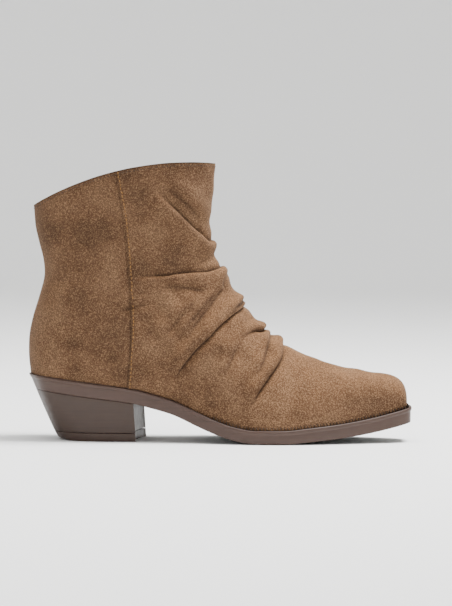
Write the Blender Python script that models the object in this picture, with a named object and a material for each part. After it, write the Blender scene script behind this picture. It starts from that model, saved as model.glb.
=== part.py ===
"""Slouch ankle boot for a right foot: a gathered suede upper on a moulded sole with a block heel.

The frame has +X towards the toe, +Y towards the inner side of the foot and +Z up. The origin lies on
the floor, in the middle of the boot's box. Every size is in metres, and a table's shares are of the
named size that its comment gives.
"""

import bmesh
import bpy
import numpy as np
from mathutils import Matrix

# Driving sizes of the boot
LENGTH = 0.268  # heel back to toe tip, over the sole
BALL_WIDTH = 0.091  # widest part of the sole
FRONT_HEIGHT = 0.1932  # floor to the collar at the front of the shaft
BACK_HEIGHT = 0.1630  # floor to the collar at the back of the shaft
SHAFT_WIDTH = 0.064  # collar, inner side to outer side
HEEL_RISE = 0.0360  # floor to the underside of the sole at the heel's back
TOE_SPRING = 0.0142  # floor to the underside of the sole at the toe tip
GAP = 0.0003  # left between pieces that lie on each other

# Upper
WALL = 0.0020  # suede and lining together
TOE_WELT = 0.0034  # sole that shows outside the upper, round the forefoot
HEEL_WELT = 0.0014  # the same at the heel

# Sole, heel and insole
SOLE_EDGE = 0.0096  # height of the sole's side
RIM_HEIGHT = 0.0022  # raised lip along the top of the side
RIM_STEP = 0.0006  # how far the lip stands out of the side
EDGE_ROUND = 0.0010  # rounding of the sole's bottom and top edges
HEEL_SLANT = 0.44  # how far the heel's back leans forward for each unit of its depth
HEEL_TAPER = 0.09  # the same for the heel's two sides
BREAST_OUTER = 0.274  # heel's front edge on the outer side, as a share of LENGTH from the back
BREAST_INNER = 0.296  # the same on the inner side
BREAST_HOLLOW = 0.0022  # depth of the hollow in the heel's front
TIP_HEIGHT = 0.0058  # replaceable top piece under the heel
TIP_STEP = 0.0004  # groove between the heel and its top piece
TIP_SPUR = 0.0045  # bevel at the back of the top piece
TREAD_DEPTH = 0.0014  # recess for the forepart tread
TREAD_INSET = 0.0034  # sole's edge to the tread
TREAD_PROUD = 0.0004  # how far the tread stands below the sole
TREAD_START = 0.425  # back end of the tread, as a share of LENGTH from the back
RECESS_FADE = 0.0080  # length over which the recess runs out behind the tread
INSOLE_THICK = 0.0022
INSOLE_CLEAR = 0.0010  # upper's inner face to the insole's edge

# Zip
ZIP_SLOT_BOTTOM = 0.0074  # width of the slot in the upper
ZIP_SLOT_TOP = 0.0150
TAPE_HALF = 0.0090
TAPE_THICK = 0.0006
TEETH_HALF = 0.0028  # half the width of the closed chain
TEETH_THICK = 0.0015
TEETH_PART = 0.0037  # half the gap between the rows at the collar
SLIDER_DOWN = 0.0085  # slider's centre below the collar
SLIDER_LONG = 0.0104
SLIDER_WIDE = 0.0096
SLIDER_PLATE = 0.0009
BAIL_THICK = 0.0014
PULL_LONG = 0.0240
PULL_WIDE = 0.0078
PULL_THICK = 0.0010
PULL_BAR = 0.0011  # cross bar that turns under the slider's bail

HALF = LENGTH / 2
BREADTH = BALL_WIDTH / 2
OUTER, INNER = -1.0, 1.0  # sides of the boot, as signs of y

# Sole's outline seen from above, from the heel's back round the outer side to the toe and home again:
# x as a share of half of LENGTH, y as a share of half of BALL_WIDTH
OUTLINE = np.array(
    [
        (-1.000, 0.03), (-0.974, -0.28), (-0.903, -0.52), (-0.776, -0.645), (-0.610, -0.67),
        (-0.410, -0.655), (-0.224, -0.71), (-0.037, -0.85), (0.149, -0.98), (0.299, -0.995),
        (0.463, -0.90), (0.627, -0.735), (0.791, -0.55), (0.910, -0.41), (0.974, -0.30),
        (0.997, -0.14), (1.000, 0.08), (0.997, 0.30), (0.974, 0.45), (0.910, 0.555),
        (0.791, 0.69), (0.627, 0.86), (0.463, 0.975), (0.328, 1.00), (0.179, 0.92),
        (0.015, 0.745), (-0.164, 0.60), (-0.358, 0.57), (-0.552, 0.615), (-0.746, 0.665),
        (-0.881, 0.60), (-0.966, 0.36),
    ]
)
TOE_POINT = 16  # row of OUTLINE at the toe's front

# Sole in the side view: x share, underside as shares of HEEL_RISE and of TOE_SPRING, and the height
# of its side as a share of SOLE_EDGE
SOLE_SIDE = np.array(
    [
        (-1.000, 1.000, 0.00, 1.04), (-0.710, 0.862, 0.00, 1.04), (-0.440, 0.728, 0.00, 1.03),
        (-0.360, 0.655, 0.00, 1.02), (-0.250, 0.540, 0.00, 1.00), (-0.134, 0.350, 0.00, 0.99),
        (-0.015, 0.160, 0.00, 0.97), (0.075, 0.060, 0.00, 0.95), (0.180, 0.000, 0.00, 0.95),
        (0.330, 0.000, 0.00, 0.96), (0.450, 0.000, 0.10, 0.98), (0.600, 0.000, 0.24, 1.01),
        (0.750, 0.000, 0.45, 1.04), (0.890, 0.000, 0.73, 1.08), (1.000, 0.000, 1.00, 1.10),
    ]
)

# Sections of the upper, from the toe to the collar. Each joins a root to a point of the ridge.
# root: 0 to 1 is the way along the sole's edge from toe to heel, 1 to 2 the way up the back seam.
# ridge x: share of half of LENGTH. ridge up: share of the height between the sole and the collar.
# ridge y, outer, inner: shares of half of BALL_WIDTH; the last two are half widths at mid section.
# full: how square the section's lower part is. round: how blunt its root end is.
# bow: how far the section's middle rises, as a share of LENGTH.
SECTIONS = np.array(
    [
        # root, ridge x, ridge up, ridge y, outer, inner, full, round, bow
        (0.000, 0.000, 0.0000, 0.08, 0.000, 0.000, 3.4, 0.0, 0.000),
        (0.025, 0.9750, 0.0245, 0.08, 0.160, 0.160, 3.4, 0.0, 0.000),
        (0.050, 0.9735, 0.0520, 0.08, 0.285, 0.285, 3.4, 0.0, 0.000),
        (0.075, 0.9620, 0.0880, 0.08, 0.372, 0.372, 3.4, 0.0, 0.000),
        (0.105, 0.9330, 0.1230, 0.09, 0.412, 0.412, 3.3, 0.0, 0.000),
        (0.140, 0.8790, 0.1505, 0.10, 0.462, 0.462, 3.0, 0.0, 0.000),
        (0.190, 0.7980, 0.1700, 0.11, 0.540, 0.540, 2.7, 0.0, 0.000),
        (0.250, 0.6940, 0.1940, 0.12, 0.640, 0.640, 2.4, 0.0, 0.000),
        (0.315, 0.5820, 0.2220, 0.14, 0.725, 0.735, 2.2, 0.0, 0.000),
        (0.385, 0.4630, 0.2610, 0.15, 0.765, 0.785, 2.0, 0.0, 0.000),
        (0.455, 0.3430, 0.3100, 0.15, 0.770, 0.780, 1.9, 0.0, 0.000),
        (0.525, 0.2390, 0.3650, 0.14, 0.755, 0.755, 1.9, 0.0, 0.000),
        (0.595, 0.1650, 0.4210, 0.12, 0.735, 0.725, 1.9, 0.1, 0.000),
        (0.665, 0.1050, 0.4800, 0.10, 0.725, 0.710, 1.9, 0.3, 0.000),
        (0.735, 0.0550, 0.5330, 0.08, 0.720, 0.705, 1.9, 0.6, 0.000),
        (0.805, 0.0190, 0.5800, 0.06, 0.720, 0.705, 1.9, 1.0, 0.000),
        (0.875, -0.0070, 0.6205, 0.05, 0.720, 0.705, 2.0, 1.5, 0.000),
        (0.940, -0.0240, 0.6510, 0.04, 0.715, 0.700, 2.0, 2.0, 0.000),
        (1.000, -0.0360, 0.6810, 0.04, 0.705, 0.690, 2.0, 2.3, 0.000),
        (1.080, -0.0460, 0.7100, 0.03, 0.690, 0.680, 2.0, 2.4, 0.000),
        (1.200, -0.0560, 0.7405, 0.03, 0.675, 0.670, 2.0, 2.4, 0.001),
        (1.340, -0.0630, 0.7715, 0.03, 0.660, 0.655, 2.0, 2.2, 0.003),
        (1.480, -0.0650, 0.8060, 0.03, 0.645, 0.645, 2.0, 1.8, 0.007),
        (1.600, -0.0630, 0.8430, 0.03, 0.640, 0.640, 2.0, 1.4, 0.012),
        (1.720, -0.0600, 0.8830, 0.03, 0.650, 0.650, 2.0, 1.1, 0.019),
        (1.850, -0.0540, 0.9315, 0.03, 0.670, 0.670, 2.0, 0.9, 0.027),
        (2.000, -0.0460, 1.0000, 0.03, 0.700, 0.700, 2.0, 0.8, 0.036),
    ]
)
SECTIONS[0, 1] = 1 - TOE_WELT / HALF
SECTIONS[:, 4:6] *= np.where(SECTIONS[:, :1] > 1, SHAFT_WIDTH / (0.7 * BALL_WIDTH), 1.0)
HEEL_ROW = 18  # section whose root is the foot of the back seam
COLLAR_ROW = len(SECTIONS) - 1

# Back seam: share of the way up, distance behind its foot as a share of half of LENGTH
BACK_SEAM = np.array(
    [
        (0.00, 0.0000), (0.08, 0.0085), (0.20, 0.0095), (0.34, -0.0095), (0.48, -0.0470),
        (0.60, -0.0690), (0.72, -0.0540), (0.85, -0.0250), (1.00, -0.0100),
    ]
)

# Slouch folds in the side view, each from the front ridge down one side: x as shares of half of
# LENGTH and z as shares of FRONT_HEIGHT for its start, two points between and its end, then how far
# the roll stands out and how wide it is, as shares of LENGTH
FOLDS = [
    # side, x0, z0, x1, z1, x2, z2, x3, z3, stand, width
    (OUTER, 0.325, 0.358, 0.275, 0.270, 0.225, 0.208, 0.175, 0.157, 0.015, 0.022),
    (OUTER, 0.215, 0.438, 0.200, 0.373, 0.185, 0.312, 0.165, 0.252, 0.011, 0.024),
    (OUTER, 0.120, 0.520, 0.020, 0.455, -0.105, 0.353, -0.225, 0.237, 0.016, 0.024),
    (OUTER, 0.000, 0.633, -0.115, 0.620, -0.260, 0.603, -0.430, 0.590, 0.014, 0.026),
    (OUTER, -0.065, 0.740, -0.170, 0.790, -0.260, 0.832, -0.350, 0.890, 0.011, 0.030),
    (INNER, 0.330, 0.348, 0.270, 0.288, 0.210, 0.237, 0.160, 0.207, 0.015, 0.022),
    (INNER, 0.185, 0.448, 0.070, 0.353, 0.005, 0.293, -0.025, 0.242, 0.015, 0.024),
    (INNER, 0.070, 0.575, -0.020, 0.540, -0.070, 0.515, -0.110, 0.495, 0.012, 0.024),
    (INNER, -0.020, 0.685, -0.100, 0.688, -0.170, 0.690, -0.240, 0.686, 0.012, 0.026),
]

# Centre of the zip in the side view, from its lower end to the collar: x and z shares as above
ZIP_LINE = np.array([(-0.155, 0.215), (-0.218, 0.335), (-0.284, 0.445), (-0.342, 0.560),
                     (-0.386, 0.680), (-0.416, 0.790), (-0.440, 0.890), (-0.462, 0.985)])

# Mesh density: steps between one section and the next, steps from the root to the ridge
ROW_STEPS = [1, 1, 1, 1, 1, 2, 2, 2, 3, 3, 3, 3, 3, 2, 2, 2, 2, 2, 2, 2, 2, 2, 2, 2, 2, 2]
HALF_STEPS = 17
RIM_STEPS = 38  # along one side of the sole, heel to toe
ZIP_STEPS = 20

SUEDE = ((0.42, 0.29, 0.20, 1), 0.95, 0.0)
SOLE_RUBBER = ((0.135, 0.105, 0.090, 1), 0.50, 0.0)
TREAD_RUBBER = ((0.025, 0.023, 0.022, 1), 0.75, 0.0)
LINING = ((0.50, 0.38, 0.27, 1), 0.85, 0.0)
ZIP_TAPE = ((0.115, 0.055, 0.040, 1), 0.90, 0.0)
ZIP_METAL = ((0.23, 0.14, 0.115, 1), 0.40, 0.8)


def spline(knots, rows, at):
    """Natural cubic curve through a table's rows, read at the given places."""
    knots, rows = np.asarray(knots, float), np.asarray(rows, float)
    step = np.diff(knots)
    slope = np.diff(rows, axis=0) / step.reshape(-1, *[1] * (rows.ndim - 1))
    system = np.eye(len(knots))
    pull = np.zeros_like(rows)
    for k in range(1, len(knots) - 1):
        system[k, k - 1:k + 2] = step[k - 1], 2 * (step[k - 1] + step[k]), step[k]
        pull[k] = 6 * (slope[k] - slope[k - 1])
    bend = np.linalg.solve(system, pull.reshape(len(knots), -1)).reshape(rows.shape)
    at = np.asarray(at, float)
    k = np.clip(np.searchsorted(knots, at, side="right") - 1, 0, len(knots) - 2)
    shape = at.shape + (1,) * (rows.ndim - 1)
    a, h = (at - knots[k]).reshape(shape), step[k].reshape(shape)
    b = h - a
    return ((bend[k] * b**3 + bend[k + 1] * a**3) / (6 * h)
            + (rows[k] / h - bend[k] * h / 6) * b + (rows[k + 1] / h - bend[k + 1] * h / 6) * a)


def flat_curve(knots, values, at):
    """Cubic curve that stays level where two neighbouring values of a table are equal."""
    secant = np.diff(values) / np.diff(knots)
    same = secant[1:] * secant[:-1] > 0
    middle = np.where(same, 2 * secant[1:] * secant[:-1] / np.where(same, secant[1:] + secant[:-1], 1), 0)
    slope = np.concatenate([secant[:1], middle, secant[-1:]])
    at = np.clip(at, knots[0], knots[-1])
    k = np.clip(np.searchsorted(knots, at, side="right") - 1, 0, len(knots) - 2)
    h = knots[k + 1] - knots[k]
    t = (at - knots[k]) / h
    return (values[k] * (1 + 2 * t) * (1 - t) ** 2 + slope[k] * h * t * (1 - t) ** 2
            + values[k + 1] * t**2 * (3 - 2 * t) - slope[k + 1] * h * t**2 * (1 - t))


def underside(x):
    """Height of the sole's underside above the floor."""
    heel = flat_curve(SOLE_SIDE[:, 0] * HALF, SOLE_SIDE[:, 1], x)
    toe = flat_curve(SOLE_SIDE[:, 0] * HALF, SOLE_SIDE[:, 2], x)
    return TREAD_PROUD + heel * (HEEL_RISE - TREAD_PROUD) + toe * (TOE_SPRING - TREAD_PROUD)


def sole_top(x):
    """Height of the sole's top above the floor."""
    return underside(x) + SOLE_EDGE * flat_curve(SOLE_SIDE[:, 0] * HALF, SOLE_SIDE[:, 3], x)


def bed(x):
    """Height at which the upper and the insole start, just above the sole."""
    return sole_top(x) + GAP


def trace_outline():
    """Outer and inner halves of the sole's outline, each from toe to heel: share of its length,
    points and inward directions, with the whole scaled to LENGTH and BALL_WIDTH exactly."""
    wrap = np.vstack([OUTLINE[-4:], OUTLINE, OUTLINE[:5]])
    chord = np.concatenate([[0], np.cumsum(np.linalg.norm(np.diff(wrap, axis=0), axis=1))])
    first, toe, last = chord[4], chord[4 + TOE_POINT], chord[4 + len(OUTLINE)]
    loop = np.vstack([spline(chord, wrap, np.linspace(first, toe, 400)),
                      spline(chord, wrap, np.linspace(toe, last, 400))[1:]])
    loop = (2 * (loop - loop.min(0)) / np.ptp(loop, axis=0) - 1) * (HALF, BREADTH)
    ahead = np.gradient(np.vstack([loop[-2], loop, loop[1]]), axis=0)[1:-1]
    inward = np.stack([-ahead[:, 1], ahead[:, 0]], 1) / np.linalg.norm(ahead, axis=1)[:, None]
    halves = {}
    for side, rows in ((OUTER, slice(399, None, -1)), (INNER, slice(399, None))):
        points = loop[rows]
        run = np.concatenate([[0], np.cumsum(np.linalg.norm(np.diff(points, axis=0), axis=1))])
        halves[side] = run / run[-1], points, inward[rows]
    return halves


HALVES = trace_outline()


def rim(side, share, inset):
    """Points of the sole's outline, moved inwards: share 0 is the toe's front, 1 the heel's back."""
    run, points, inward = HALVES[side]
    inset = np.broadcast_to(inset, np.shape(share))
    return [np.interp(share, run, points[:, k]) + inset * np.interp(share, run, inward[:, k]) for k in (0, 1)]


def welt(share):
    """Width of sole outside the upper: full round the forefoot, narrow round the heel."""
    blend = np.clip((np.asarray(share) - 0.45) / 0.3, 0, 1)
    return TOE_WELT + (HEEL_WELT - TOE_WELT) * blend**2 * (3 - 2 * blend)


def back_seam(up, inset):
    """x and z of the back seam, moved inwards."""
    foot = rim(OUTER, 1.0, welt(1.0))[0]
    steps = np.stack([np.asarray(up), np.asarray(up) + 1e-3])
    x = foot - spline(BACK_SEAM[:, 0], BACK_SEAM[:, 1], steps) * HALF
    z = bed(foot) + steps * (BACK_HEIGHT - bed(foot))
    lean_x, lean_z = x[1] - x[0], z[1] - z[0]
    length = np.hypot(lean_x, lean_z)
    return x[0] + inset * lean_z / length, z[0] - inset * lean_x / length


def ridge(s, inset):
    """x and z of the line over the toe, up the instep and up the front of the shaft."""
    steps = np.stack([np.asarray(s), np.asarray(s) + 1e-3])
    share, up = np.moveaxis(spline(np.arange(len(SECTIONS)), SECTIONS[:, 1:3], steps), -1, 0)
    x = share * HALF
    z = bed(x) + up * (FRONT_HEIGHT - bed(x))
    lean_x, lean_z = x[1] - x[0], z[1] - z[0]
    length = np.hypot(lean_x, lean_z)
    return x[0] - inset * lean_z / length, z[0] + inset * lean_x / length


def section_line(side, s, inset=0.0):
    """Root, ridge end and bow of a section, in the side view, and its sizes across the boot."""
    columns = np.moveaxis(spline(np.arange(len(SECTIONS)), SECTIONS, s), -1, 0)
    root, _, _, ridge_y, outer, inner, full, blunt, bow = columns
    on_sole = root <= 1
    share = np.clip(root, 0, 1)
    foot = {k: rim(k, share, welt(share) + inset) for k in (OUTER, INNER)}
    seam_x, seam_z = back_seam(np.clip(root - 1, 0, 1), inset)
    seam_y = rim(OUTER, 1.0, 0.0)[1]
    x = np.where(on_sole, foot[side][0], seam_x)
    z = np.where(on_sole, bed(foot[side][0]), seam_z)
    middle = np.where(on_sole, (foot[OUTER][1] + foot[INNER][1]) / 2, seam_y)
    start = np.where(on_sole, np.abs(foot[side][1] - middle), 0.0)
    top_x, top_z = ridge(s, inset)
    wide = np.maximum((outer if side == OUTER else inner) * BREADTH - inset, 0)
    across = middle, ridge_y * BREADTH, start, wide, full, blunt
    return (x, z), (top_x, top_z), bow * LENGTH, across


def surface(side, s, q, inset=0.0):
    """Points of the upper's outer face, or of one set inwards: section s, at q from root to ridge.

    The side view of a section is the straight line from root to ridge, bowed near the collar. Its
    half width h follows h^2 = start^2 (1 - q^full) + rest * 4 q (1 - q) * (1 + round (1 - q)^3),
    with rest such that h is the table's half width in the middle.
    """
    s, q = np.broadcast_arrays(np.asarray(s, float), np.asarray(q, float))
    (x, z), (top_x, top_z), bow, across = section_line(side, s, inset)
    middle, ridge_y, start, wide, full, blunt = across
    run_x, run_z = top_x - x, top_z - z
    length = np.maximum(np.hypot(run_x, run_z), 1e-6)
    rise = 4 * q * (1 - q)
    hump = rise * (1 + blunt * (1 - q) ** 3) / (1 + blunt / 8)
    square = start**2 * (1 - q**full) + (wide**2 - start**2 * (1 - 0.5**full)) * hump
    half = np.sqrt(np.maximum(square, 0))
    return np.stack([x + run_x * q - bow * rise * run_z / length,
                     middle + (ridge_y - middle) * q + side * half,
                     z + run_z * q + bow * rise * run_x / length], -1)


def locate(side, x, z):
    """Section and place along it of points given in the side view."""
    s = np.linspace(0, COLLAR_ROW, 800)
    (rx, rz), (tx, tz), bow, _ = section_line(side, s)
    run_x, run_z = tx - rx, tz - rz
    length = np.maximum(np.hypot(run_x, run_z), 1e-6)
    away_x, away_z = np.asarray(x)[:, None] - rx, np.asarray(z)[:, None] - rz
    q = np.clip((away_x * run_x + away_z * run_z) / length**2, 0, 1)
    above = (run_x * away_z - run_z * away_x) / length - bow * 4 * q * (1 - q)
    k = np.array([np.nonzero(row > 0)[0][-1] if (row > 0).any() else 0 for row in above[:, 40:-1]]) + 40
    each = np.arange(len(k))
    share = above[each, k] / np.maximum(above[each, k] - above[each, k + 1], 1e-9)
    share = np.clip(share, 0, 1)
    return s[k] + share * (s[1] - s[0]), q[each, k] + share * (q[each, k + 1] - q[each, k])


def outward(side, s, q):
    """Unit normals of the outer face, pointing out."""
    q = np.clip(q, 0.01, 0.99)
    s = np.clip(s, 0.05, COLLAR_ROW - 0.01)
    along_s = surface(side, s + 0.02, q) - surface(side, s - 0.02, q)
    along_q = surface(side, s, q + 0.005) - surface(side, s, q - 0.005)
    normal = np.cross(along_s, along_q) * side
    return normal / np.maximum(np.linalg.norm(normal, axis=-1, keepdims=True), 1e-12)


def fold_line(row):
    """A fold's crest on the boot: points, directions along it, normals and the way it faces down."""
    side, *places = row[:9]
    corners = np.array(places).reshape(4, 2) * (HALF, FRONT_HEIGHT)
    path = spline([0, 1, 2, 3], corners, np.linspace(0, 3, 40))
    s, q = locate(side, path[:, 0], path[:, 1])
    points = surface(side, s, q)
    along = np.gradient(points, axis=0)
    along /= np.linalg.norm(along, axis=1)[:, None]
    normals = outward(side, s, q)
    across = np.cross(along, normals)
    across /= np.linalg.norm(across, axis=1)[:, None]
    down = np.sign((across @ np.array([0.5, 0.0, -1.0])).mean())
    return points, along, normals, across * down


def fold_offsets(points, normals):
    """How far the slouch folds move points of the upper along its normals: each fold is a roll with
    a trough along its lower side, and it dies out at its far end."""
    total = np.zeros(len(points))
    for row in FOLDS:
        stand, width = row[9] * LENGTH, row[10] * LENGTH
        crest, along, face, across = fold_line(row)
        away = points[:, None] - crest[None]
        nearest = np.argmin((away**2).sum(2), axis=1)
        away = away[np.arange(len(points)), nearest]
        down = (away * across[nearest]).sum(1)
        past = (away * along[nearest]).sum(1)
        facing = np.clip((normals * face[nearest]).sum(1), 0, 1)
        fade = 1 - (nearest / (len(crest) - 1)) ** 2
        roll = np.exp(-((down + 0.5 * width) / width) ** 2)
        trough = 0.75 * np.exp(-((down - 0.9 * width) / (0.7 * width)) ** 2)
        total += stand * fade * facing * (roll - trough) * np.exp(-((past / width) ** 2))
    return total


def zip_frames(shares):
    """Centre line of the zip and its directions: towards the collar, towards the toe, outwards. A
    share past 1 goes straight on above the collar."""
    knots = np.linspace(0, 1, len(ZIP_LINE))
    dense = np.linspace(0, 1, 120)
    path = spline(knots, ZIP_LINE, dense) * (HALF, FRONT_HEIGHT)
    s, q = locate(INNER, path[:, 0], path[:, 1])
    points, normals = surface(INNER, s, q), outward(INNER, s, q)
    run = np.concatenate([[0], np.cumsum(np.linalg.norm(np.diff(points, axis=0), axis=1))])
    along = np.gradient(points, run, axis=0)
    rows = []
    for table in (points, along, normals):
        rows.append(np.stack([np.interp(shares, run / run[-1], table[:, k]) for k in range(3)], 1))
    centre, up, out = rows
    up /= np.linalg.norm(up, axis=1)[:, None]
    centre += up * (np.maximum(shares - 1, 0) * run[-1])[:, None]
    front = np.cross(out, up)
    front /= np.linalg.norm(front, axis=1)[:, None]
    out = np.cross(up, front)
    return centre, up, front, out, run[-1]


def zip_ring(frames, low, high, shallow, deep, steps=2):
    """Rings of a strip that follows the zip: between low and high across it, at two depths below the
    upper's face, bent with the face's round."""
    centre, _, front, out, _ = frames
    bend = 0.128  # radius of the shaft's flat side
    lows, highs = np.broadcast_to(low, len(centre)), np.broadcast_to(high, len(centre))
    places = [(k / steps, deep) for k in range(steps + 1)] + [(1 - k / steps, shallow) for k in range(steps + 1)]
    ring = []
    for share, depth in places:
        across = lows + (highs - lows) * share
        depth = np.broadcast_to(depth, len(centre)) + across**2 / (2 * bend)
        ring.append(centre + front * across[:, None] - out * depth[:, None])
    return np.stack(ring, 1)


def material(name, finish):
    colour, roughness, metallic = finish
    made = bpy.data.materials.get(name) or bpy.data.materials.new(name)
    made.use_nodes = True
    made.diffuse_color = colour
    shader = made.node_tree.nodes["Principled BSDF"]
    shader.inputs["Base Color"].default_value = colour
    shader.inputs["Roughness"].default_value = roughness
    shader.inputs["Metallic"].default_value = metallic
    return made


def place(name, vertices, faces, look, collection, weld=2e-5):
    """Makes a closed mesh object from vertices and faces, welded, with its faces pointing out."""
    mesh = bpy.data.meshes.new(name)
    mesh.from_pydata([tuple(v) for v in np.asarray(vertices, float)], [], faces)
    work = bmesh.new()
    work.from_mesh(mesh)
    bmesh.ops.remove_doubles(work, verts=work.verts, dist=weld)
    bmesh.ops.dissolve_degenerate(work, edges=work.edges, dist=1e-6)
    bmesh.ops.recalc_face_normals(work, faces=work.faces)
    work.to_mesh(mesh)
    work.free()
    mesh.shade_smooth()
    mesh.set_sharp_from_angle(angle=np.radians(35))
    mesh.materials.append(material(*look))
    made = bpy.data.objects.new(name, mesh)
    collection.objects.link(made)
    return made


def slab(name, loops, look, collection):
    """Solid between closed loops stacked from the bottom up. A loop runs from one end of the piece
    down one side to the other end and home, and rungs between its two sides close top and bottom."""
    loops = np.asarray(loops)
    levels, count = loops.shape[:2]
    faces = []
    for level in range(levels - 1):
        for k in range(count):
            a, b = level * count + k, level * count + (k + 1) % count
            faces.append((a, b, b + count, a + count))
    for base in (0, (levels - 1) * count):
        for k in range(count // 2):
            ring = [k, k + 1, count - k - 1, (count - k) % count]
            faces.append([base + v for v in dict.fromkeys(ring)])
    return place(name, loops.reshape(-1, 3), faces, look, collection)


def sweep(name, rings, look, collection):
    """Solid through a row of rings, closed at both ends."""
    count, size = rings.shape[:2]
    faces = []
    for row in range(count - 1):
        for k in range(size):
            a, b = row * size + k, row * size + (k + 1) % size
            faces.append((a, b, b + size, a + size))
    faces += [list(range(size)), [(count - 1) * size + k for k in range(size)]]
    return place(name, rings.reshape(-1, 3), faces, look, collection)


def prism(name, outline, axis, low, high, look, collection):
    """Flat outline given thickness along one axis: its two columns are the other axes in order."""
    outline = np.asarray(outline, float)
    ends = [np.insert(outline, axis, level, axis=1) for level in (low, high)]
    return sweep(name, np.stack(ends), look, collection)


def combine(base, other, operation):
    """Boolean of two objects, applied to the first, whose folds may touch. The second is removed."""
    step = base.modifiers.new(operation.title(), "BOOLEAN")
    step.operation = operation
    step.object = other
    step.use_self = True
    bpy.context.view_layer.update()
    evaluated = base.evaluated_get(bpy.context.evaluated_depsgraph_get())
    mesh = bpy.data.meshes.new_from_object(evaluated)
    base.modifiers.clear()
    base.data = mesh
    bpy.data.objects.remove(other)


def side_shares():
    """Steps along one side of the sole from toe to heel, closer together round the ends."""
    even = np.linspace(0, 1, RIM_STEPS + 1)
    return 0.45 * even + 0.55 * (1 - np.cos(np.pi * even)) / 2


def lean(x, y, depth):
    """Moves points that lie below the sole's top in: the heel's back leans forward and its two sides
    draw together, both in step with the depth. In front of the heel nothing moves."""
    front = BREAST_OUTER * LENGTH - HALF
    behind = np.clip((front - x) / (front + HALF), 0, 1)
    blend = np.clip(1 + (front - x) / (0.05 * LENGTH), 0, 1)
    narrow = HEEL_TAPER * blend**2 * (3 - 2 * blend) * depth / (0.31 * BALL_WIDTH)
    return x + HEEL_SLANT * behind * depth, y * (1 - narrow)


def rim_loop(inset, height, shares=None):
    """Loop round the sole, from the toe's front down the inner side and back up the outer side. The
    height is a function of x, and the heel's lean is measured down from the sole's top."""
    shares = side_shares() if shares is None else shares
    points = []
    for side, rows in ((INNER, slice(None)), (OUTER, slice(-2, 0, -1))):
        x, y = rim(side, shares, inset)
        x, y = lean(x, y, np.maximum(sole_top(x) - height(x), 0))
        points.append(np.stack([x, y, height(x)], 1)[rows])
    return np.vstack(points)


def recess(x):
    """Depth of the recess for the tread, which runs out behind it."""
    start = TREAD_START * LENGTH - HALF
    blend = np.clip((x - start + RECESS_FADE) / (0.6 * RECESS_FADE), 0, 1)
    return TREAD_DEPTH * blend**2 * (3 - 2 * blend)


def build_outsole(collection):
    """Moulded sole, one piece from heel to toe: tread recess, rounded edge, side wall and lip."""
    loops = [
        rim_loop(TREAD_INSET + 0.0004, lambda x: underside(x) + recess(x)),
        rim_loop(TREAD_INSET, underside),
        rim_loop(RIM_STEP + EDGE_ROUND, underside),
        rim_loop(RIM_STEP, lambda x: underside(x) + EDGE_ROUND),
        rim_loop(RIM_STEP, lambda x: sole_top(x) - RIM_HEIGHT - RIM_STEP),
        rim_loop(0.0, lambda x: sole_top(x) - RIM_HEIGHT),
        rim_loop(0.0, lambda x: sole_top(x) - 0.6 * EDGE_ROUND),
        rim_loop(0.6 * EDGE_ROUND, sole_top),
    ]
    return slab("outsole", loops, ("sole_rubber", SOLE_RUBBER), collection)


def build_tread(collection):
    """Thin dark rubber tread set into the forepart of the sole."""
    start = TREAD_START * LENGTH - HALF
    clear = TREAD_INSET + 0.0004 + GAP
    shares = side_shares()
    inner = rim(INNER, shares, clear)
    last = np.nonzero(inner[0] > start)[0][-1] + 1
    end_share = {side: np.interp(-start, -rim(side, shares, clear)[0], shares) for side in (INNER, OUTER)}
    loops = []
    for inset, height in (
        (clear + 0.0006, lambda x: underside(x) - TREAD_PROUD),
        (clear, lambda x: underside(x) - TREAD_PROUD + 0.0005),
        (clear, lambda x: underside(x) + TREAD_DEPTH - GAP),
    ):
        sides = {}
        for side in (INNER, OUTER):
            scaled = shares[:last + 1] * end_share[side] / shares[last]
            x, y = rim(side, scaled, inset)
            sides[side] = np.stack([x, y, height(x)], 1)
        middle = (sides[INNER][-1] + sides[OUTER][-1])[None] / 2
        middle[0, 0] += 0.004
        middle[0, 2] = height(middle[0, 0])
        loops.append(np.vstack([sides[INNER], middle, sides[OUTER][:0:-1]]))
    return slab("forepart_tread", loops, ("tread_rubber", TREAD_RUBBER), collection)


def heel_loop(inset, height):
    """Loop round the heel: from the middle of its front down the inner side, round the back and up
    the outer side to the front again. The front is hollowed and set square to the heel."""
    fronts = {INNER: BREAST_INNER * LENGTH - HALF, OUTER: BREAST_OUTER * LENGTH - HALF}
    steps = np.linspace(0, 1, 17)
    sides = {}
    for side, front in fronts.items():
        start = np.interp(-front, -HALVES[side][1][:, 0], HALVES[side][0])
        shares = start + (1 - start) * np.sin(steps * np.pi / 2)
        x, y = rim(side, shares, inset)
        depth = sole_top(x) - height(x)
        x, y = lean(x, y, depth)
        forward = 0.07 * depth * (1 - steps) ** 2
        sides[side] = np.stack([x + forward, y, height(x)], 1)
    breast = []
    for share in (0.78, 0.5, 0.22):
        point = sides[OUTER][0] + (sides[INNER][0] - sides[OUTER][0]) * share
        point[0] -= BREAST_HOLLOW * 4 * share * (1 - share) + inset
        point[2] = height(point[0])
        breast.append(point)
    loop = [breast[1], breast[0], *sides[INNER], *sides[OUTER][-2::-1], breast[2]]
    return np.array(loop)


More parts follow.
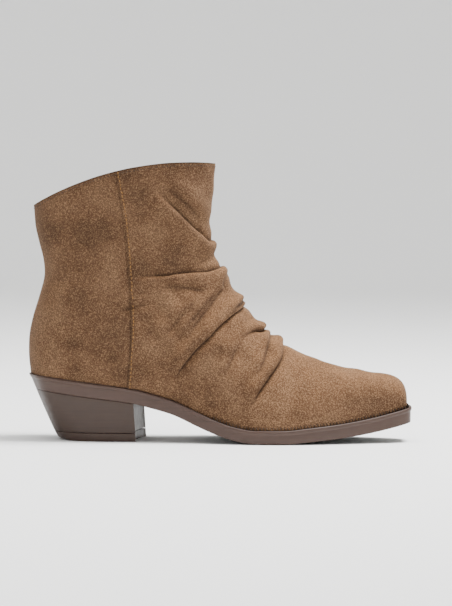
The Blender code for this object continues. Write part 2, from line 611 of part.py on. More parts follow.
def build_heel(collection):
    """Stacked block heel: a leaning block under the sole, and the replaceable top piece under it."""
    step = TIP_HEIGHT + GAP

    def roof(x):
        return underside(x) - GAP

    block = [
        heel_loop(RIM_STEP + TIP_STEP, lambda x: step + 0 * x),
        heel_loop(RIM_STEP, lambda x: step + TIP_STEP + 0 * x),
        heel_loop(RIM_STEP, lambda x: roof(x) - TIP_STEP),
        heel_loop(RIM_STEP + TIP_STEP, roof),
    ]
    slab("heel_block", block, ("heel_rubber", SOLE_RUBBER), collection)
    tip = [
        heel_loop(RIM_STEP + TIP_STEP, lambda x: 0 * x),
        heel_loop(RIM_STEP, lambda x: TIP_STEP + 0 * x),
        heel_loop(RIM_STEP, lambda x: TIP_HEIGHT - TIP_STEP + 0 * x),
        heel_loop(RIM_STEP + TIP_STEP, lambda x: TIP_HEIGHT + 0 * x),
    ]
    back = min(level[:, 0].min() for level in tip)
    spurs = [np.clip(1 - (level[:, 0] - back) / (3 * TIP_SPUR), 0, 1) for level in tip[:2]]
    tip[0][:, 0] += TIP_SPUR * spurs[0]
    tip[1][:, 2] += 0.8 * TIP_SPUR * spurs[1]
    tip[1][:, 0] -= 0.8 * TIP_SPUR * HEEL_SLANT * spurs[1]
    slab("heel_top_piece", tip, ("heel_rubber", SOLE_RUBBER), collection)


def build_insole(collection):
    """Insole: a board in the bottom of the upper, on the sole."""
    inset = TOE_WELT + WALL + INSOLE_CLEAR
    loops = [
        rim_loop(inset, bed),
        rim_loop(inset, lambda x: bed(x) + 0.7 * INSOLE_THICK),
        rim_loop(inset + 0.3 * INSOLE_THICK, lambda x: bed(x) + INSOLE_THICK),
    ]
    return slab("insole", loops, ("lining", LINING), collection)


def section_places():
    """Rows of the upper's mesh as places in the table of sections, and the heel's row among them."""
    rows = [k + step / count for k, count in enumerate(ROW_STEPS) for step in range(count)]
    return np.array(rows + [COLLAR_ROW]), sum(ROW_STEPS[:HEEL_ROW])


def upper_side(side):
    """Outer and inner faces of one side of the upper: rows of points from root to ridge, evenly
    spaced along each section and moved by the folds."""
    rows, _ = section_places()
    fine = (1 - np.cos(np.linspace(0, np.pi, 121))) / 2
    dense = surface(side, rows[:, None], fine[None])
    run = np.linalg.norm(np.diff(dense, axis=1), axis=2)
    run = np.concatenate([np.zeros((len(rows), 1)), np.cumsum(run, axis=1)], axis=1)
    even = np.linspace(0, 1, HALF_STEPS + 1)
    even = np.cumsum(np.where(even > 0, 1 + 0.3 * np.sin(np.pi * even) - 0.5 * even**2, 0))
    even /= even[-1]
    q = np.array([np.interp(even * length[-1], length, fine) if length[-1] > 0 else even for length in run])
    s = np.broadcast_to(rows[:, None], q.shape)
    outer, inner = surface(side, s, q), surface(side, s, q, WALL)
    normals = outward(side, s, q).reshape(-1, 3)
    moved = fold_offsets(outer.reshape(-1, 3), normals)[:, None] * normals
    centre, _, _, _, _ = zip_frames(np.linspace(0, 1, 60))
    off_zip = np.linalg.norm(outer.reshape(-1, 1, 3) - centre[None], axis=2).min(1)
    calm = np.clip(off_zip / (2.2 * TAPE_HALF), 0, 1)[:, None] ** 2
    height = np.clip((outer.reshape(-1, 3)[:, 2] - bed(outer.reshape(-1, 3)[:, 0])) / 0.012, 0, 1)[:, None]
    moved = (moved * calm * height).reshape(outer.shape)
    return outer + moved, inner + moved


def build_upper(collection):
    """Upper: one wall from the toe to the collar, open at the collar and underneath, with the slot
    for the zip cut in its inner side."""
    _, heel_row = section_places()
    sheets = [*upper_side(OUTER), *upper_side(INNER)]
    for here, there in ((0, 2), (1, 3)):
        for line in (np.s_[:, -1], np.s_[heel_row:, 0]):
            sheets[here][line] = sheets[there][line] = (sheets[here][line] + sheets[there][line]) / 2
    rows, columns = sheets[0].shape[:2]
    size = rows * columns
    outer_out, outer_in, inner_out, inner_in = [k * size for k in range(4)]
    faces = []
    for row in range(rows - 1):
        for k in range(columns - 1):
            a = row * columns + k
            b, c, d = a + 1, a + columns + 1, a + columns
            faces += [(outer_out + a, outer_out + b, outer_out + c, outer_out + d),
                      (outer_in + d, outer_in + c, outer_in + b, outer_in + a),
                      (inner_out + d, inner_out + c, inner_out + b, inner_out + a),
                      (inner_in + a, inner_in + b, inner_in + c, inner_in + d)]
    for out, lining in ((outer_out, outer_in), (inner_out, inner_in)):
        for row in range(heel_row):
            a, b = row * columns, (row + 1) * columns
            faces.append((out + a, out + b, lining + b, lining + a))
        last = (rows - 1) * columns
        for k in range(last, last + columns - 1):
            faces.append((out + k, out + k + 1, lining + k + 1, lining + k))
    vertices = np.concatenate([sheet.reshape(-1, 3) for sheet in sheets])
    upper = place("upper", vertices, faces, ("suede", SUEDE), collection)
    shares = np.linspace(0, 1.15, ZIP_STEPS)
    flare = np.clip((shares - 0.35) / 0.65, 0, None) ** 2
    width = ZIP_SLOT_BOTTOM + (ZIP_SLOT_TOP - ZIP_SLOT_BOTTOM) * flare
    frames = zip_frames(shares)
    cutter = sweep("zip_slot", zip_ring(frames, -width / 2, width / 2, -2 * WALL, 3 * WALL),
                   ("suede", SUEDE), collection)
    combine(upper, cutter, "DIFFERENCE")
    return upper


def parted(shares, length):
    """Half the gap between the two rows of teeth: shut below the slider, open above it."""
    above = (shares - 1) * length + SLIDER_DOWN + 0.0010
    opening = np.clip(above / (SLIDER_DOWN + 0.0010), 0, 1)
    return GAP / 2 + (TEETH_PART - GAP / 2) * opening**1.15


def build_zip(collection):
    """Zip on the inner side: two tapes behind the slot, two rows of teeth, the slider and its pull."""
    shares = np.concatenate([np.linspace(0.008, 0.88, ZIP_STEPS), np.linspace(0.905, 0.994, 7)])
    frames = zip_frames(shares)
    gap = parted(shares, frames[4])
    for sign, name in ((1, "front"), (-1, "back")):
        near, far = sign * gap, np.full(len(shares), sign * TAPE_HALF)
        tape = zip_ring(frames, near, far, WALL + GAP, WALL + GAP + TAPE_THICK)
        sweep(f"zip_tape_{name}", tape, ("zip_tape", ZIP_TAPE), collection)
        edge = near + sign * (TEETH_HALF - GAP / 2)
        deep = WALL - GAP / 2
        teeth = zip_ring(frames, near, edge, deep - TEETH_THICK, deep, steps=1)
        sweep(f"zip_teeth_{name}", teeth, ("zip_metal", ZIP_METAL), collection)
    build_slider(collection, frames[4])


def build_slider(collection, zip_length):
    """Slider and pull tab, modelled flat with x back across the zip, y up it and z outwards, then set on
    the zip. The pull's object has its origin on the cross bar, about which it turns."""
    metal = ("zip_metal", ZIP_METAL)
    wide, long = SLIDER_WIDE / 2, SLIDER_LONG / 2
    teeth_top = TEETH_THICK - WALL + GAP / 2
    under = teeth_top + GAP
    top = under + SLIDER_PLATE
    behind = -(WALL + TAPE_THICK + 2.4 * GAP)
    shield = [(-0.74 * wide, -long), (0.74 * wide, -long), (0.9 * wide, 0.1 * long), (wide, 0.8 * long),
              (0.7 * wide, long), (-0.7 * wide, long), (-wide, 0.8 * long), (-0.9 * wide, 0.1 * long)]
    slider = prism("zip_slider", shield, 2, under, top, metal, collection)
    lower = prism("lower_plate", shield, 2, behind - SLIDER_PLATE, behind, metal, collection)
    post_half = 0.0006
    post = prism("post", [(-post_half, 0.62 * long), (post_half, 0.62 * long), (post_half, 0.94 * long),
                          (-post_half, 0.94 * long)], 2, behind - SLIDER_PLATE / 2, under + SLIDER_PLATE / 2,
                 metal, collection)
    bar = PULL_BAR / 2
    axis_up, axis_out = 0.22 * long, top + PULL_THICK / 2 + 1.2 * GAP
    foot, head = -0.8 * long, axis_up + bar + 4 * GAP + BAIL_THICK / 2
    roof = axis_out + PULL_THICK / 2 + 1.2 * GAP
    crown = roof + BAIL_THICK * 0.7
    low = top - SLIDER_PLATE / 2
    bail_line = [(foot, low), (foot, 0.6 * crown), (foot + 0.0008, crown), (axis_up, crown + 0.0001),
                 (head, 0.72 * crown), (head, low), (head - BAIL_THICK / 2, low),
                 (head - BAIL_THICK / 2, 0.62 * roof), (axis_up, roof), (foot + 0.0016, roof),
                 (foot + 0.0010, 0.7 * roof), (foot + 0.0010, low)]
    bail = prism("bail", bail_line, 0, -BAIL_THICK / 2, BAIL_THICK / 2, metal, collection)
    for piece in (lower, post, bail):
        combine(slider, piece, "UNION")
    side, inside = PULL_WIDE / 2, BAIL_THICK / 2 + 1.5 * GAP
    end, window = bar - PULL_LONG, foot - axis_up - 2.5 * GAP
    blade = [(-0.8 * side, bar), (0.8 * side, bar), (side, 0.9 * window), (0.92 * side, 1.6 * window),
             (0.66 * side, end), (-0.66 * side, end), (-0.92 * side, 1.6 * window), (-side, 0.9 * window)]
    pull = prism("zip_pull", blade, 2, -PULL_THICK / 2, PULL_THICK / 2, metal, collection)
    slot = [(-inside, -bar), (inside, -bar), (inside, 0.8 * window), (0.5 * inside, window),
            (-0.5 * inside, window), (-inside, 0.8 * window)]
    eye = [(-0.34 * side, end + 0.0024), (0.34 * side, end + 0.0024), (0.34 * side, end + 0.0052),
           (-0.34 * side, end + 0.0052)]
    for outline in (slot, eye):
        combine(pull, prism("hole", outline, 2, -PULL_THICK, PULL_THICK, metal, collection), "DIFFERENCE")
    at = np.array([1 - SLIDER_DOWN / zip_length])
    centre, up, front, out, _ = [row[0] if k < 4 else row for k, row in enumerate(zip_frames(at))]
    hinge = centre + up * axis_up + out * axis_out
    for piece, origin in ((slider, centre), (pull, hinge)):
        turn = np.eye(4)
        turn[:3, :3] = np.stack([-front, up, out], 1)
        turn[:3, 3] = origin
        piece.matrix_world = Matrix(turn.tolist())
    print("pull hinge", [round(float(v), 6) for v in hinge], "axis", [round(float(v), 6) for v in front])


def main():
    for thing in list(bpy.data.objects):
        bpy.data.objects.remove(thing)
    boot = bpy.data.collections.new("slouch_boot")
    bpy.context.scene.collection.children.link(boot)
    build_outsole(boot)
    build_tread(boot)
    build_heel(boot)
    build_insole(boot)
    build_upper(boot)
    build_zip(boot)


main()
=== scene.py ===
# %% [markdown]
# # A slouch ankle boot in suede
#
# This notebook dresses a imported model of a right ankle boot: a soft suede upper that has slumped into
# folds over the instep, a moulded rubber sole with a block heel, and a zip on the inner side. The
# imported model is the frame. It gives every size, so each new piece is worked out in metres in the
# same place: +X towards the toe, +Y towards the inner side of the foot, +Z up.

import math

import bpy
import numpy as np
from mathutils import Matrix, Vector
from mathutils.bvhtree import BVHTree


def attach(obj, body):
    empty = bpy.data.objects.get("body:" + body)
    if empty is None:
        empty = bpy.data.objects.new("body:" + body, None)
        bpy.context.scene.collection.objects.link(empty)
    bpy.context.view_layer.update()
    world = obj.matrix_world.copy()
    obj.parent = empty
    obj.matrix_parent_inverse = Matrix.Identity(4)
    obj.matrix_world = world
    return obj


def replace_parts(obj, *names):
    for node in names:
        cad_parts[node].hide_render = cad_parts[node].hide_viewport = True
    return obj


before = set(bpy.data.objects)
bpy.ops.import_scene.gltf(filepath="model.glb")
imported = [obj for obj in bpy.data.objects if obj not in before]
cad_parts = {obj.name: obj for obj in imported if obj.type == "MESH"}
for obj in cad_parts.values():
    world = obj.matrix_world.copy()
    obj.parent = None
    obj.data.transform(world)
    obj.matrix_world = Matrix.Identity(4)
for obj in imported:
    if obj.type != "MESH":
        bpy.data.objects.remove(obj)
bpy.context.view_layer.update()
MM = 0.001

# %% [markdown]
# ## The view
#
# Such product photographs are taken from well back with a long lens, so that the boot is hardly
# foreshortened. The camera stands level with the top of the shaft, on the outer side, and looks a
# little down, which is why the inside of the collar stays hidden. Its focal length follows from one
# measure: at the boot, one pixel of the 606 is 0.7 mm.

# %% Camera
FRAME_HEIGHT_PX = 606
PIXEL = 0.6985 * MM
CAMERA_AWAY = 2.10
CAMERA_UP = 0.176
AIM = (0.0035, -0.020, 0.0965)
ROLL = math.radians(0.46)

camera = bpy.data.objects.new("camera", bpy.data.cameras.new("camera"))
bpy.context.scene.collection.objects.link(camera)
bpy.context.scene.camera = camera
camera.data.sensor_width = 36.0
camera.data.lens = 36.0 * CAMERA_AWAY / (FRAME_HEIGHT_PX * PIXEL)
camera.data.clip_start, camera.data.clip_end = 0.05, 20.0
camera.location = (AIM[0], -CAMERA_AWAY, CAMERA_UP)
look = Vector(AIM) - camera.location
camera.rotation_mode = "QUATERNION"
turned = look.to_track_quat("-Z", "Y").to_matrix() @ Matrix.Rotation(ROLL, 3, "Z")
camera.rotation_quaternion = turned.to_quaternion()
print("lens, mm:", round(camera.data.lens, 1))

# %% [markdown]
# ## The last
#
# A boot is made over a last, so its upper is a smooth form before it slumps. The form is described
# by a short table of sections that fan out from the heel. Each section starts at a root, which is a
# place on the sole's edge or on the back seam, and ends on the ridge that runs over the toe and up
# the front of the shaft. The rows are the ones that the solids were made from.

# %% Sizes and tables of the last
LENGTH, BALL_WIDTH = 0.268, 0.091
FRONT_HEIGHT, BACK_HEIGHT = 0.1932, 0.1630
SHAFT_WIDTH, HEEL_RISE, TOE_SPRING = 0.064, 0.0360, 0.0142
GAP, WALL, SOLE_EDGE = 0.0003, 0.0020, 0.0096
TOE_WELT, HEEL_WELT, TREAD_PROUD = 0.0034, 0.0014, 0.0004
HALF, BREADTH = LENGTH / 2, BALL_WIDTH / 2
OUTER, INNER = -1, 1

# Outline of the sole from above, from the heel's back round the outer side to the toe and home:
# x as a share of half the length, y as a share of half the width
OUTLINE = np.array([
    (-1.000, 0.03), (-0.974, -0.28), (-0.903, -0.52), (-0.776, -0.645), (-0.610, -0.67),
    (-0.410, -0.655), (-0.224, -0.71), (-0.037, -0.85), (0.149, -0.98), (0.299, -0.995),
    (0.463, -0.90), (0.627, -0.735), (0.791, -0.55), (0.910, -0.41), (0.974, -0.30),
    (0.997, -0.14), (1.000, 0.08), (0.997, 0.30), (0.974, 0.45), (0.910, 0.555),
    (0.791, 0.69), (0.627, 0.86), (0.463, 0.975), (0.328, 1.00), (0.179, 0.92),
    (0.015, 0.745), (-0.164, 0.60), (-0.358, 0.57), (-0.552, 0.615), (-0.746, 0.665),
    (-0.881, 0.60), (-0.966, 0.36),
])
TOE_POINT = 16

# Sole from the side: x share, shares of HEEL_RISE, TOE_SPRING and SOLE_EDGE
SOLE_SIDE = np.array([
    (-1.000, 1.000, 0.00, 1.04), (-0.710, 0.862, 0.00, 1.04), (-0.440, 0.728, 0.00, 1.03),
    (-0.360, 0.655, 0.00, 1.02), (-0.250, 0.540, 0.00, 1.00), (-0.134, 0.350, 0.00, 0.99),
    (-0.015, 0.160, 0.00, 0.97), (0.075, 0.060, 0.00, 0.95), (0.180, 0.000, 0.00, 0.95),
    (0.330, 0.000, 0.00, 0.96), (0.450, 0.000, 0.10, 0.98), (0.600, 0.000, 0.24, 1.01),
    (0.750, 0.000, 0.45, 1.04), (0.890, 0.000, 0.73, 1.08), (1.000, 0.000, 1.00, 1.10),
])

print("sole, mm:", round(LENGTH / MM), "by", round(BALL_WIDTH / MM))

# %% Sections of the upper
# Root, ridge x, ridge height, ridge y, half width outside and inside, how square the lower part is,
# how blunt the root end is, and how far the middle bows up. Roots up to 1 lie on the sole's edge,
# from toe to heel, and roots from 1 to 2 on the back seam
SECTIONS = np.array([
    (0.000, 0.9746, 0.0000, 0.08, 0.000, 0.000, 3.4, 0.0, 0.000),
    (0.025, 0.9750, 0.0245, 0.08, 0.160, 0.160, 3.4, 0.0, 0.000),
    (0.050, 0.9735, 0.0520, 0.08, 0.285, 0.285, 3.4, 0.0, 0.000),
    (0.075, 0.9620, 0.0880, 0.08, 0.372, 0.372, 3.4, 0.0, 0.000),
    (0.105, 0.9330, 0.1230, 0.09, 0.412, 0.412, 3.3, 0.0, 0.000),
    (0.140, 0.8790, 0.1505, 0.10, 0.462, 0.462, 3.0, 0.0, 0.000),
    (0.190, 0.7980, 0.1700, 0.11, 0.540, 0.540, 2.7, 0.0, 0.000),
    (0.250, 0.6940, 0.1940, 0.12, 0.640, 0.640, 2.4, 0.0, 0.000),
    (0.315, 0.5820, 0.2220, 0.14, 0.725, 0.735, 2.2, 0.0, 0.000),
    (0.385, 0.4630, 0.2610, 0.15, 0.765, 0.785, 2.0, 0.0, 0.000),
    (0.455, 0.3430, 0.3100, 0.15, 0.770, 0.780, 1.9, 0.0, 0.000),
    (0.525, 0.2390, 0.3650, 0.14, 0.755, 0.755, 1.9, 0.0, 0.000),
    (0.595, 0.1650, 0.4210, 0.12, 0.735, 0.725, 1.9, 0.1, 0.000),
    (0.665, 0.1050, 0.4800, 0.10, 0.725, 0.710, 1.9, 0.3, 0.000),
    (0.735, 0.0550, 0.5330, 0.08, 0.720, 0.705, 1.9, 0.6, 0.000),
    (0.805, 0.0240, 0.5800, 0.06, 0.720, 0.705, 1.9, 1.0, 0.000),
    (0.875, -0.0370, 0.6205, 0.05, 0.720, 0.705, 2.0, 1.5, 0.000),
    (0.940, -0.0530, 0.6510, 0.04, 0.715, 0.700, 2.0, 2.0, 0.000),
    (1.000, -0.0465, 0.6810, 0.04, 0.705, 0.690, 2.0, 2.3, 0.000),
    (1.080, -0.0500, 0.7100, 0.03, 0.690, 0.680, 2.0, 2.4, 0.000),
    (1.200, -0.0560, 0.7405, 0.03, 0.675, 0.670, 2.0, 2.4, 0.001),
    (1.340, -0.0610, 0.7715, 0.03, 0.660, 0.655, 2.0, 2.2, 0.003),
    (1.480, -0.0520, 0.8060, 0.03, 0.645, 0.645, 2.0, 1.8, 0.007),
    (1.600, -0.0460, 0.8430, 0.03, 0.640, 0.640, 2.0, 1.4, 0.012),
    (1.720, -0.0440, 0.8830, 0.03, 0.650, 0.650, 2.0, 1.1, 0.019),
    (1.850, -0.0450, 0.9315, 0.03, 0.670, 0.670, 2.0, 0.9, 0.027),
    (2.000, -0.0380, 1.0000, 0.03, 0.700, 0.700, 2.0, 0.8, 0.036),
])
SECTIONS[:, 4:6] *= np.where(SECTIONS[:, :1] > 1, SHAFT_WIDTH / (0.7 * BALL_WIDTH), 1.0)
HEEL_ROW, COLLAR_ROW = 18, len(SECTIONS) - 1

# Back seam: share of the way up, distance behind its foot as a share of half the length
BACK_SEAM = np.array([
    (0.00, 0.0000), (0.08, 0.0085), (0.20, 0.0095), (0.34, -0.0095), (0.48, -0.0470),
    (0.60, -0.0690), (0.72, -0.0540), (0.85, -0.0250), (1.00, -0.0100),
])
print("sections:", len(SECTIONS))

# %% [markdown]
# Two curves read these tables. A natural cubic spline gives the flowing lines. A single spline for
# everything would ripple where the sole is flat, so a second cubic, which stays level between equal
# values, gives the sole a truly flat place to stand on.


# %% Natural spline
def spline(knots, rows, at):
    """Natural cubic spline: between two knots it is a cubic, its slope and bend run on through every
    knot, and its bend is zero at both ends."""
    knots, rows = np.asarray(knots, float), np.asarray(rows, float)
    step = np.diff(knots)
    slope = np.diff(rows, axis=0) / step.reshape(-1, *[1] * (rows.ndim - 1))
    system, pull = np.eye(len(knots)), np.zeros_like(rows)
    for k in range(1, len(knots) - 1):
        system[k, k - 1:k + 2] = step[k - 1], 2 * (step[k - 1] + step[k]), step[k]
        pull[k] = 6 * (slope[k] - slope[k - 1])
    bend = np.linalg.solve(system, pull.reshape(len(knots), -1)).reshape(rows.shape)
    at = np.asarray(at, float)
    k = np.clip(np.searchsorted(knots, at, side="right") - 1, 0, len(knots) - 2)
    shape = at.shape + (1,) * (rows.ndim - 1)
    a, h = (at - knots[k]).reshape(shape), step[k].reshape(shape)
    b = h - a
    return ((bend[k] * b**3 + bend[k + 1] * a**3) / (6 * h)
            + (rows[k] / h - bend[k] * h / 6) * b + (rows[k + 1] / h - bend[k + 1] * h / 6) * a)


print("halfway between 0, 1 and 4:", spline([0, 1, 2], [0, 1, 4], 1.5).round(3))


# %% Level curve
def level_curve(knots, values, at):
    """Hermite cubic whose slope at a knot is the harmonic mean of its two chords, or zero where they
    turn or one is level."""
    chord = np.diff(values) / np.diff(knots)
    same = chord[1:] * chord[:-1] > 0
    mean = np.where(same, 2 * chord[1:] * chord[:-1] / np.where(same, chord[1:] + chord[:-1], 1), 0)
    slope = np.concatenate([chord[:1], mean, chord[-1:]])
    at = np.clip(at, knots[0], knots[-1])
    k = np.clip(np.searchsorted(knots, at, side="right") - 1, 0, len(knots) - 2)
    h = knots[k + 1] - knots[k]
    t = (at - knots[k]) / h
    return (values[k] * (1 + 2 * t) * (1 - t) ** 2 + slope[k] * h * t * (1 - t) ** 2
            + values[k + 1] * t**2 * (3 - 2 * t) - slope[k + 1] * h * t**2 * (1 - t))


def smooth(t):
    """3t^2 - 2t^3 for t held between 0 and 1: an even step."""
    t = np.clip(t, 0, 1)
    return t * t * (3 - 2 * t)


print("a third of an even step:", round(float(smooth(1 / 3)), 3))

# %% [markdown]
# The sole is drawn by three lines: its underside, which rises at the heel and springs at the toe, its
# top, which is thicker towards the toe, and its outline from above. The outline is read by the share
# of the way from toe to heel, on either side, and can be moved inwards.


# %% Sole lines
def underside(x):
    """Height of the sole's underside: heel rise and toe spring, each times its own curve."""
    places = SOLE_SIDE[:, 0] * HALF
    heel, toe = level_curve(places, SOLE_SIDE[:, 1], x), level_curve(places, SOLE_SIDE[:, 2], x)
    return TREAD_PROUD + heel * (HEEL_RISE - TREAD_PROUD) + toe * (TOE_SPRING - TREAD_PROUD)


def sole_top(x):
    """Height of the sole's top: its underside plus its thickness."""
    return underside(x) + SOLE_EDGE * level_curve(SOLE_SIDE[:, 0] * HALF, SOLE_SIDE[:, 3], x)


print("sole's edge at the ball, mm:", round(float(sole_top(0.04) - underside(0.04)) / MM, 1))


# %% Sole's outline
def trace_outline():
    """Both halves of the sole's outline from toe to heel: a spline along the table's chord lengths,
    stretched to the real length and width, with the directions that point inwards."""
    wrap = np.vstack([OUTLINE[-4:], OUTLINE, OUTLINE[:5]])
    chord = np.concatenate([[0], np.cumsum(np.linalg.norm(np.diff(wrap, axis=0), axis=1))])
    first, toe, last = chord[4], chord[4 + TOE_POINT], chord[4 + len(OUTLINE)]
    loop = np.vstack([spline(chord, wrap, np.linspace(first, toe, 400)),
                      spline(chord, wrap, np.linspace(toe, last, 400))[1:]])
    loop = (2 * (loop - loop.min(0)) / np.ptp(loop, axis=0) - 1) * (HALF, BREADTH)
    ahead = np.gradient(np.vstack([loop[-2], loop, loop[1]]), axis=0)[1:-1]
    inward = np.stack([-ahead[:, 1], ahead[:, 0]], 1) / np.linalg.norm(ahead, axis=1)[:, None]
    halves = {}
    for side, rows in ((OUTER, slice(399, None, -1)), (INNER, slice(399, None))):
        points = loop[rows]
        run = np.concatenate([[0], np.cumsum(np.linalg.norm(np.diff(points, axis=0), axis=1))])
        halves[side] = run / run[-1], points, inward[rows]
    return halves


HALVES = trace_outline()


def rim(side, share, inset):
    """Point of the outline at a share of the way from toe to heel, moved inwards by the inset."""
    run, points, inward = HALVES[side]
    inset = np.broadcast_to(inset, np.shape(share))
    return [np.interp(share, run, points[:, k]) + inset * np.interp(share, run, inward[:, k])
            for k in (0, 1)]


def welt(share):
    """Width of sole outside the upper: full round the forefoot, narrow at the heel."""
    return TOE_WELT + (HEEL_WELT - TOE_WELT) * smooth((np.asarray(share) - 0.45) / 0.3)


print("widest points, mm:", [round(float(abs(HALVES[side][1][:, 1]).max() / MM), 1) for side in HALVES])

# %% [markdown]
# The upper's form is swept between two lines of the side view: the line of roots, which follows the
# sole's edge and then the back seam, and the ridge. Each section is a bowed line between them, and
# bulges to the sides like an arch whose foot is as wide as the sole lets it be.


# %% Roots and ridge
def back_seam(up, inset=0.0):
    """x and z of the back seam, moved inwards along the normal of its line."""
    foot = rim(OUTER, 1.0, welt(1.0))[0]
    steps = np.stack([np.asarray(up), np.asarray(up) + 1e-3])
    x = foot - spline(BACK_SEAM[:, 0], BACK_SEAM[:, 1], steps) * HALF
    z = sole_top(foot) + GAP + steps * (BACK_HEIGHT - sole_top(foot) - GAP)
    lean_x, lean_z = x[1] - x[0], z[1] - z[0]
    length = np.hypot(lean_x, lean_z)
    return x[0] + inset * lean_z / length, z[0] - inset * lean_x / length


def ridge(s, inset=0.0):
    """x and z of the ridge: height is a share of the way from the sole's top to the collar."""
    steps = np.stack([np.asarray(s), np.asarray(s) + 1e-3])
    share, up = np.moveaxis(spline(np.arange(len(SECTIONS)), SECTIONS[:, 1:3], steps), -1, 0)
    x = share * HALF
    z = sole_top(x) + GAP + up * (FRONT_HEIGHT - sole_top(x) - GAP)
    lean_x, lean_z = x[1] - x[0], z[1] - z[0]
    length = np.hypot(lean_x, lean_z)
    return x[0] - inset * lean_z / length, z[0] + inset * lean_x / length


def section_line(side, s, inset=0.0):
    """A section in the side view, root, ridge end and bow, and its sizes across the boot."""
    columns = np.moveaxis(spline(np.arange(len(SECTIONS)), SECTIONS, s), -1, 0)
    root, _, _, ridge_y, outer, inner, full, blunt, bow = columns
    on_sole, share = root <= 1, np.clip(root, 0, 1)
    foot = {k: rim(k, share, welt(share) + inset) for k in (OUTER, INNER)}
    seam_x, seam_z = back_seam(np.clip(root - 1, 0, 1), inset)
    x = np.where(on_sole, foot[side][0], seam_x)
    z = np.where(on_sole, sole_top(foot[side][0]) + GAP, seam_z)
    middle = np.where(on_sole, (foot[OUTER][1] + foot[INNER][1]) / 2, rim(OUTER, 1.0, 0.0)[1])
    start = np.where(on_sole, np.abs(foot[side][1] - middle), 0.0)
    wide = np.maximum((outer if side == OUTER else inner) * BREADTH - inset, 0)
    across = middle, ridge_y * BREADTH, start, wide, full, blunt
    return (x, z), ridge(s, inset), bow * LENGTH, across


print("collar's front, mm:", [round(float(v) / MM, 1) for v in ridge(COLLAR_ROW)])


# %% The upper's smooth form
def last_surface(side, s, q, inset=0.0):
    """Point of section s at q, from its root at 0 to the ridge at 1. In the side view it lies on the
    bowed line from root to ridge. Its half width h follows
    h^2 = start^2 (1 - q^full) + rest * 4 q (1 - q) (1 + blunt (1 - q)^3)."""
    s, q = np.broadcast_arrays(np.asarray(s, float), np.asarray(q, float))
    (x, z), (top_x, top_z), bow, across = section_line(side, s, inset)
    middle, ridge_y, start, wide, full, blunt = across
    run_x, run_z = top_x - x, top_z - z
    length = np.maximum(np.hypot(run_x, run_z), 1e-6)
    rise = 4 * q * (1 - q)
    hump = rise * (1 + blunt * (1 - q) ** 3) / (1 + blunt / 8)
    square = start**2 * (1 - q**full) + (wide**2 - start**2 * (1 - 0.5**full)) * hump
    half = np.sqrt(np.maximum(square, 0))
    return np.stack([x + run_x * q - bow * rise * run_z / length,
                     middle + (ridge_y - middle) * q + side * half,
                     z + run_z * q + bow * rise * run_x / length], -1)


def locate(side, x, z):
    """Section and place along it of points of the side view: the last section that they lie ahead
    of, and their foot on its line."""
    s, toe_end = np.linspace(0, COLLAR_ROW, 1600), 80  # the first 80 close up at the toe: left out
    (rx, rz), (tx, tz), bow, _ = section_line(side, s)
    run_x, run_z = tx - rx, tz - rz
    length = np.maximum(np.hypot(run_x, run_z), 1e-6)
    away_x, away_z = np.asarray(x)[:, None] - rx, np.asarray(z)[:, None] - rz
    q = np.clip((away_x * run_x + away_z * run_z) / length**2, 0, 1)
    above = (run_x * away_z - run_z * away_x) / length - bow * 4 * q * (1 - q)
    ahead = above[:, toe_end:-1] > 0
    k = np.array([np.nonzero(row)[0][-1] if row.any() else 0 for row in ahead]) + toe_end
    each = np.arange(len(k))
    share = np.clip(above[each, k] / np.maximum(above[each, k] - above[each, k + 1], 1e-9), 0, 1)
    return s[k] + share * (s[1] - s[0]), q[each, k] + share * (q[each, k + 1] - q[each, k])


def wrapped(s, v):
    """Point of the form at section s, where v runs from -1 at the outer root over 0 on the ridge to
    1 at the inner root, so that a line may cross the ridge."""
    both = [last_surface(side, s, 1 - np.abs(v)) for side in (OUTER, INNER)]
    return np.where((np.asarray(v) < 0)[..., None], *both)


sample = last_surface(OUTER, [9.0], [0.5])[0] / MM
print("a point at the vamp's side, mm:", sample.round(1))

# %% [markdown]
# ## Mesh helpers
#
# Every new piece is a sheet of points on a grid, joined by four-sided faces. The helpers below turn
# such arrays into meshes, and add the small tools that folds, seams and stitches share.


# %% From arrays to meshes
def grid_faces(rows, columns, wrap=False):
    """Faces of a grid whose points are numbered row by row. A wrapped grid closes along its rows."""
    across = columns if wrap else columns - 1
    a = np.arange(rows - 1)[:, None] * columns + np.arange(across)[None]
    b = np.arange(rows - 1)[:, None] * columns + (np.arange(across)[None] + 1) % columns
    return np.stack([a, b, b + columns, a + columns], -1).reshape(-1, 4)


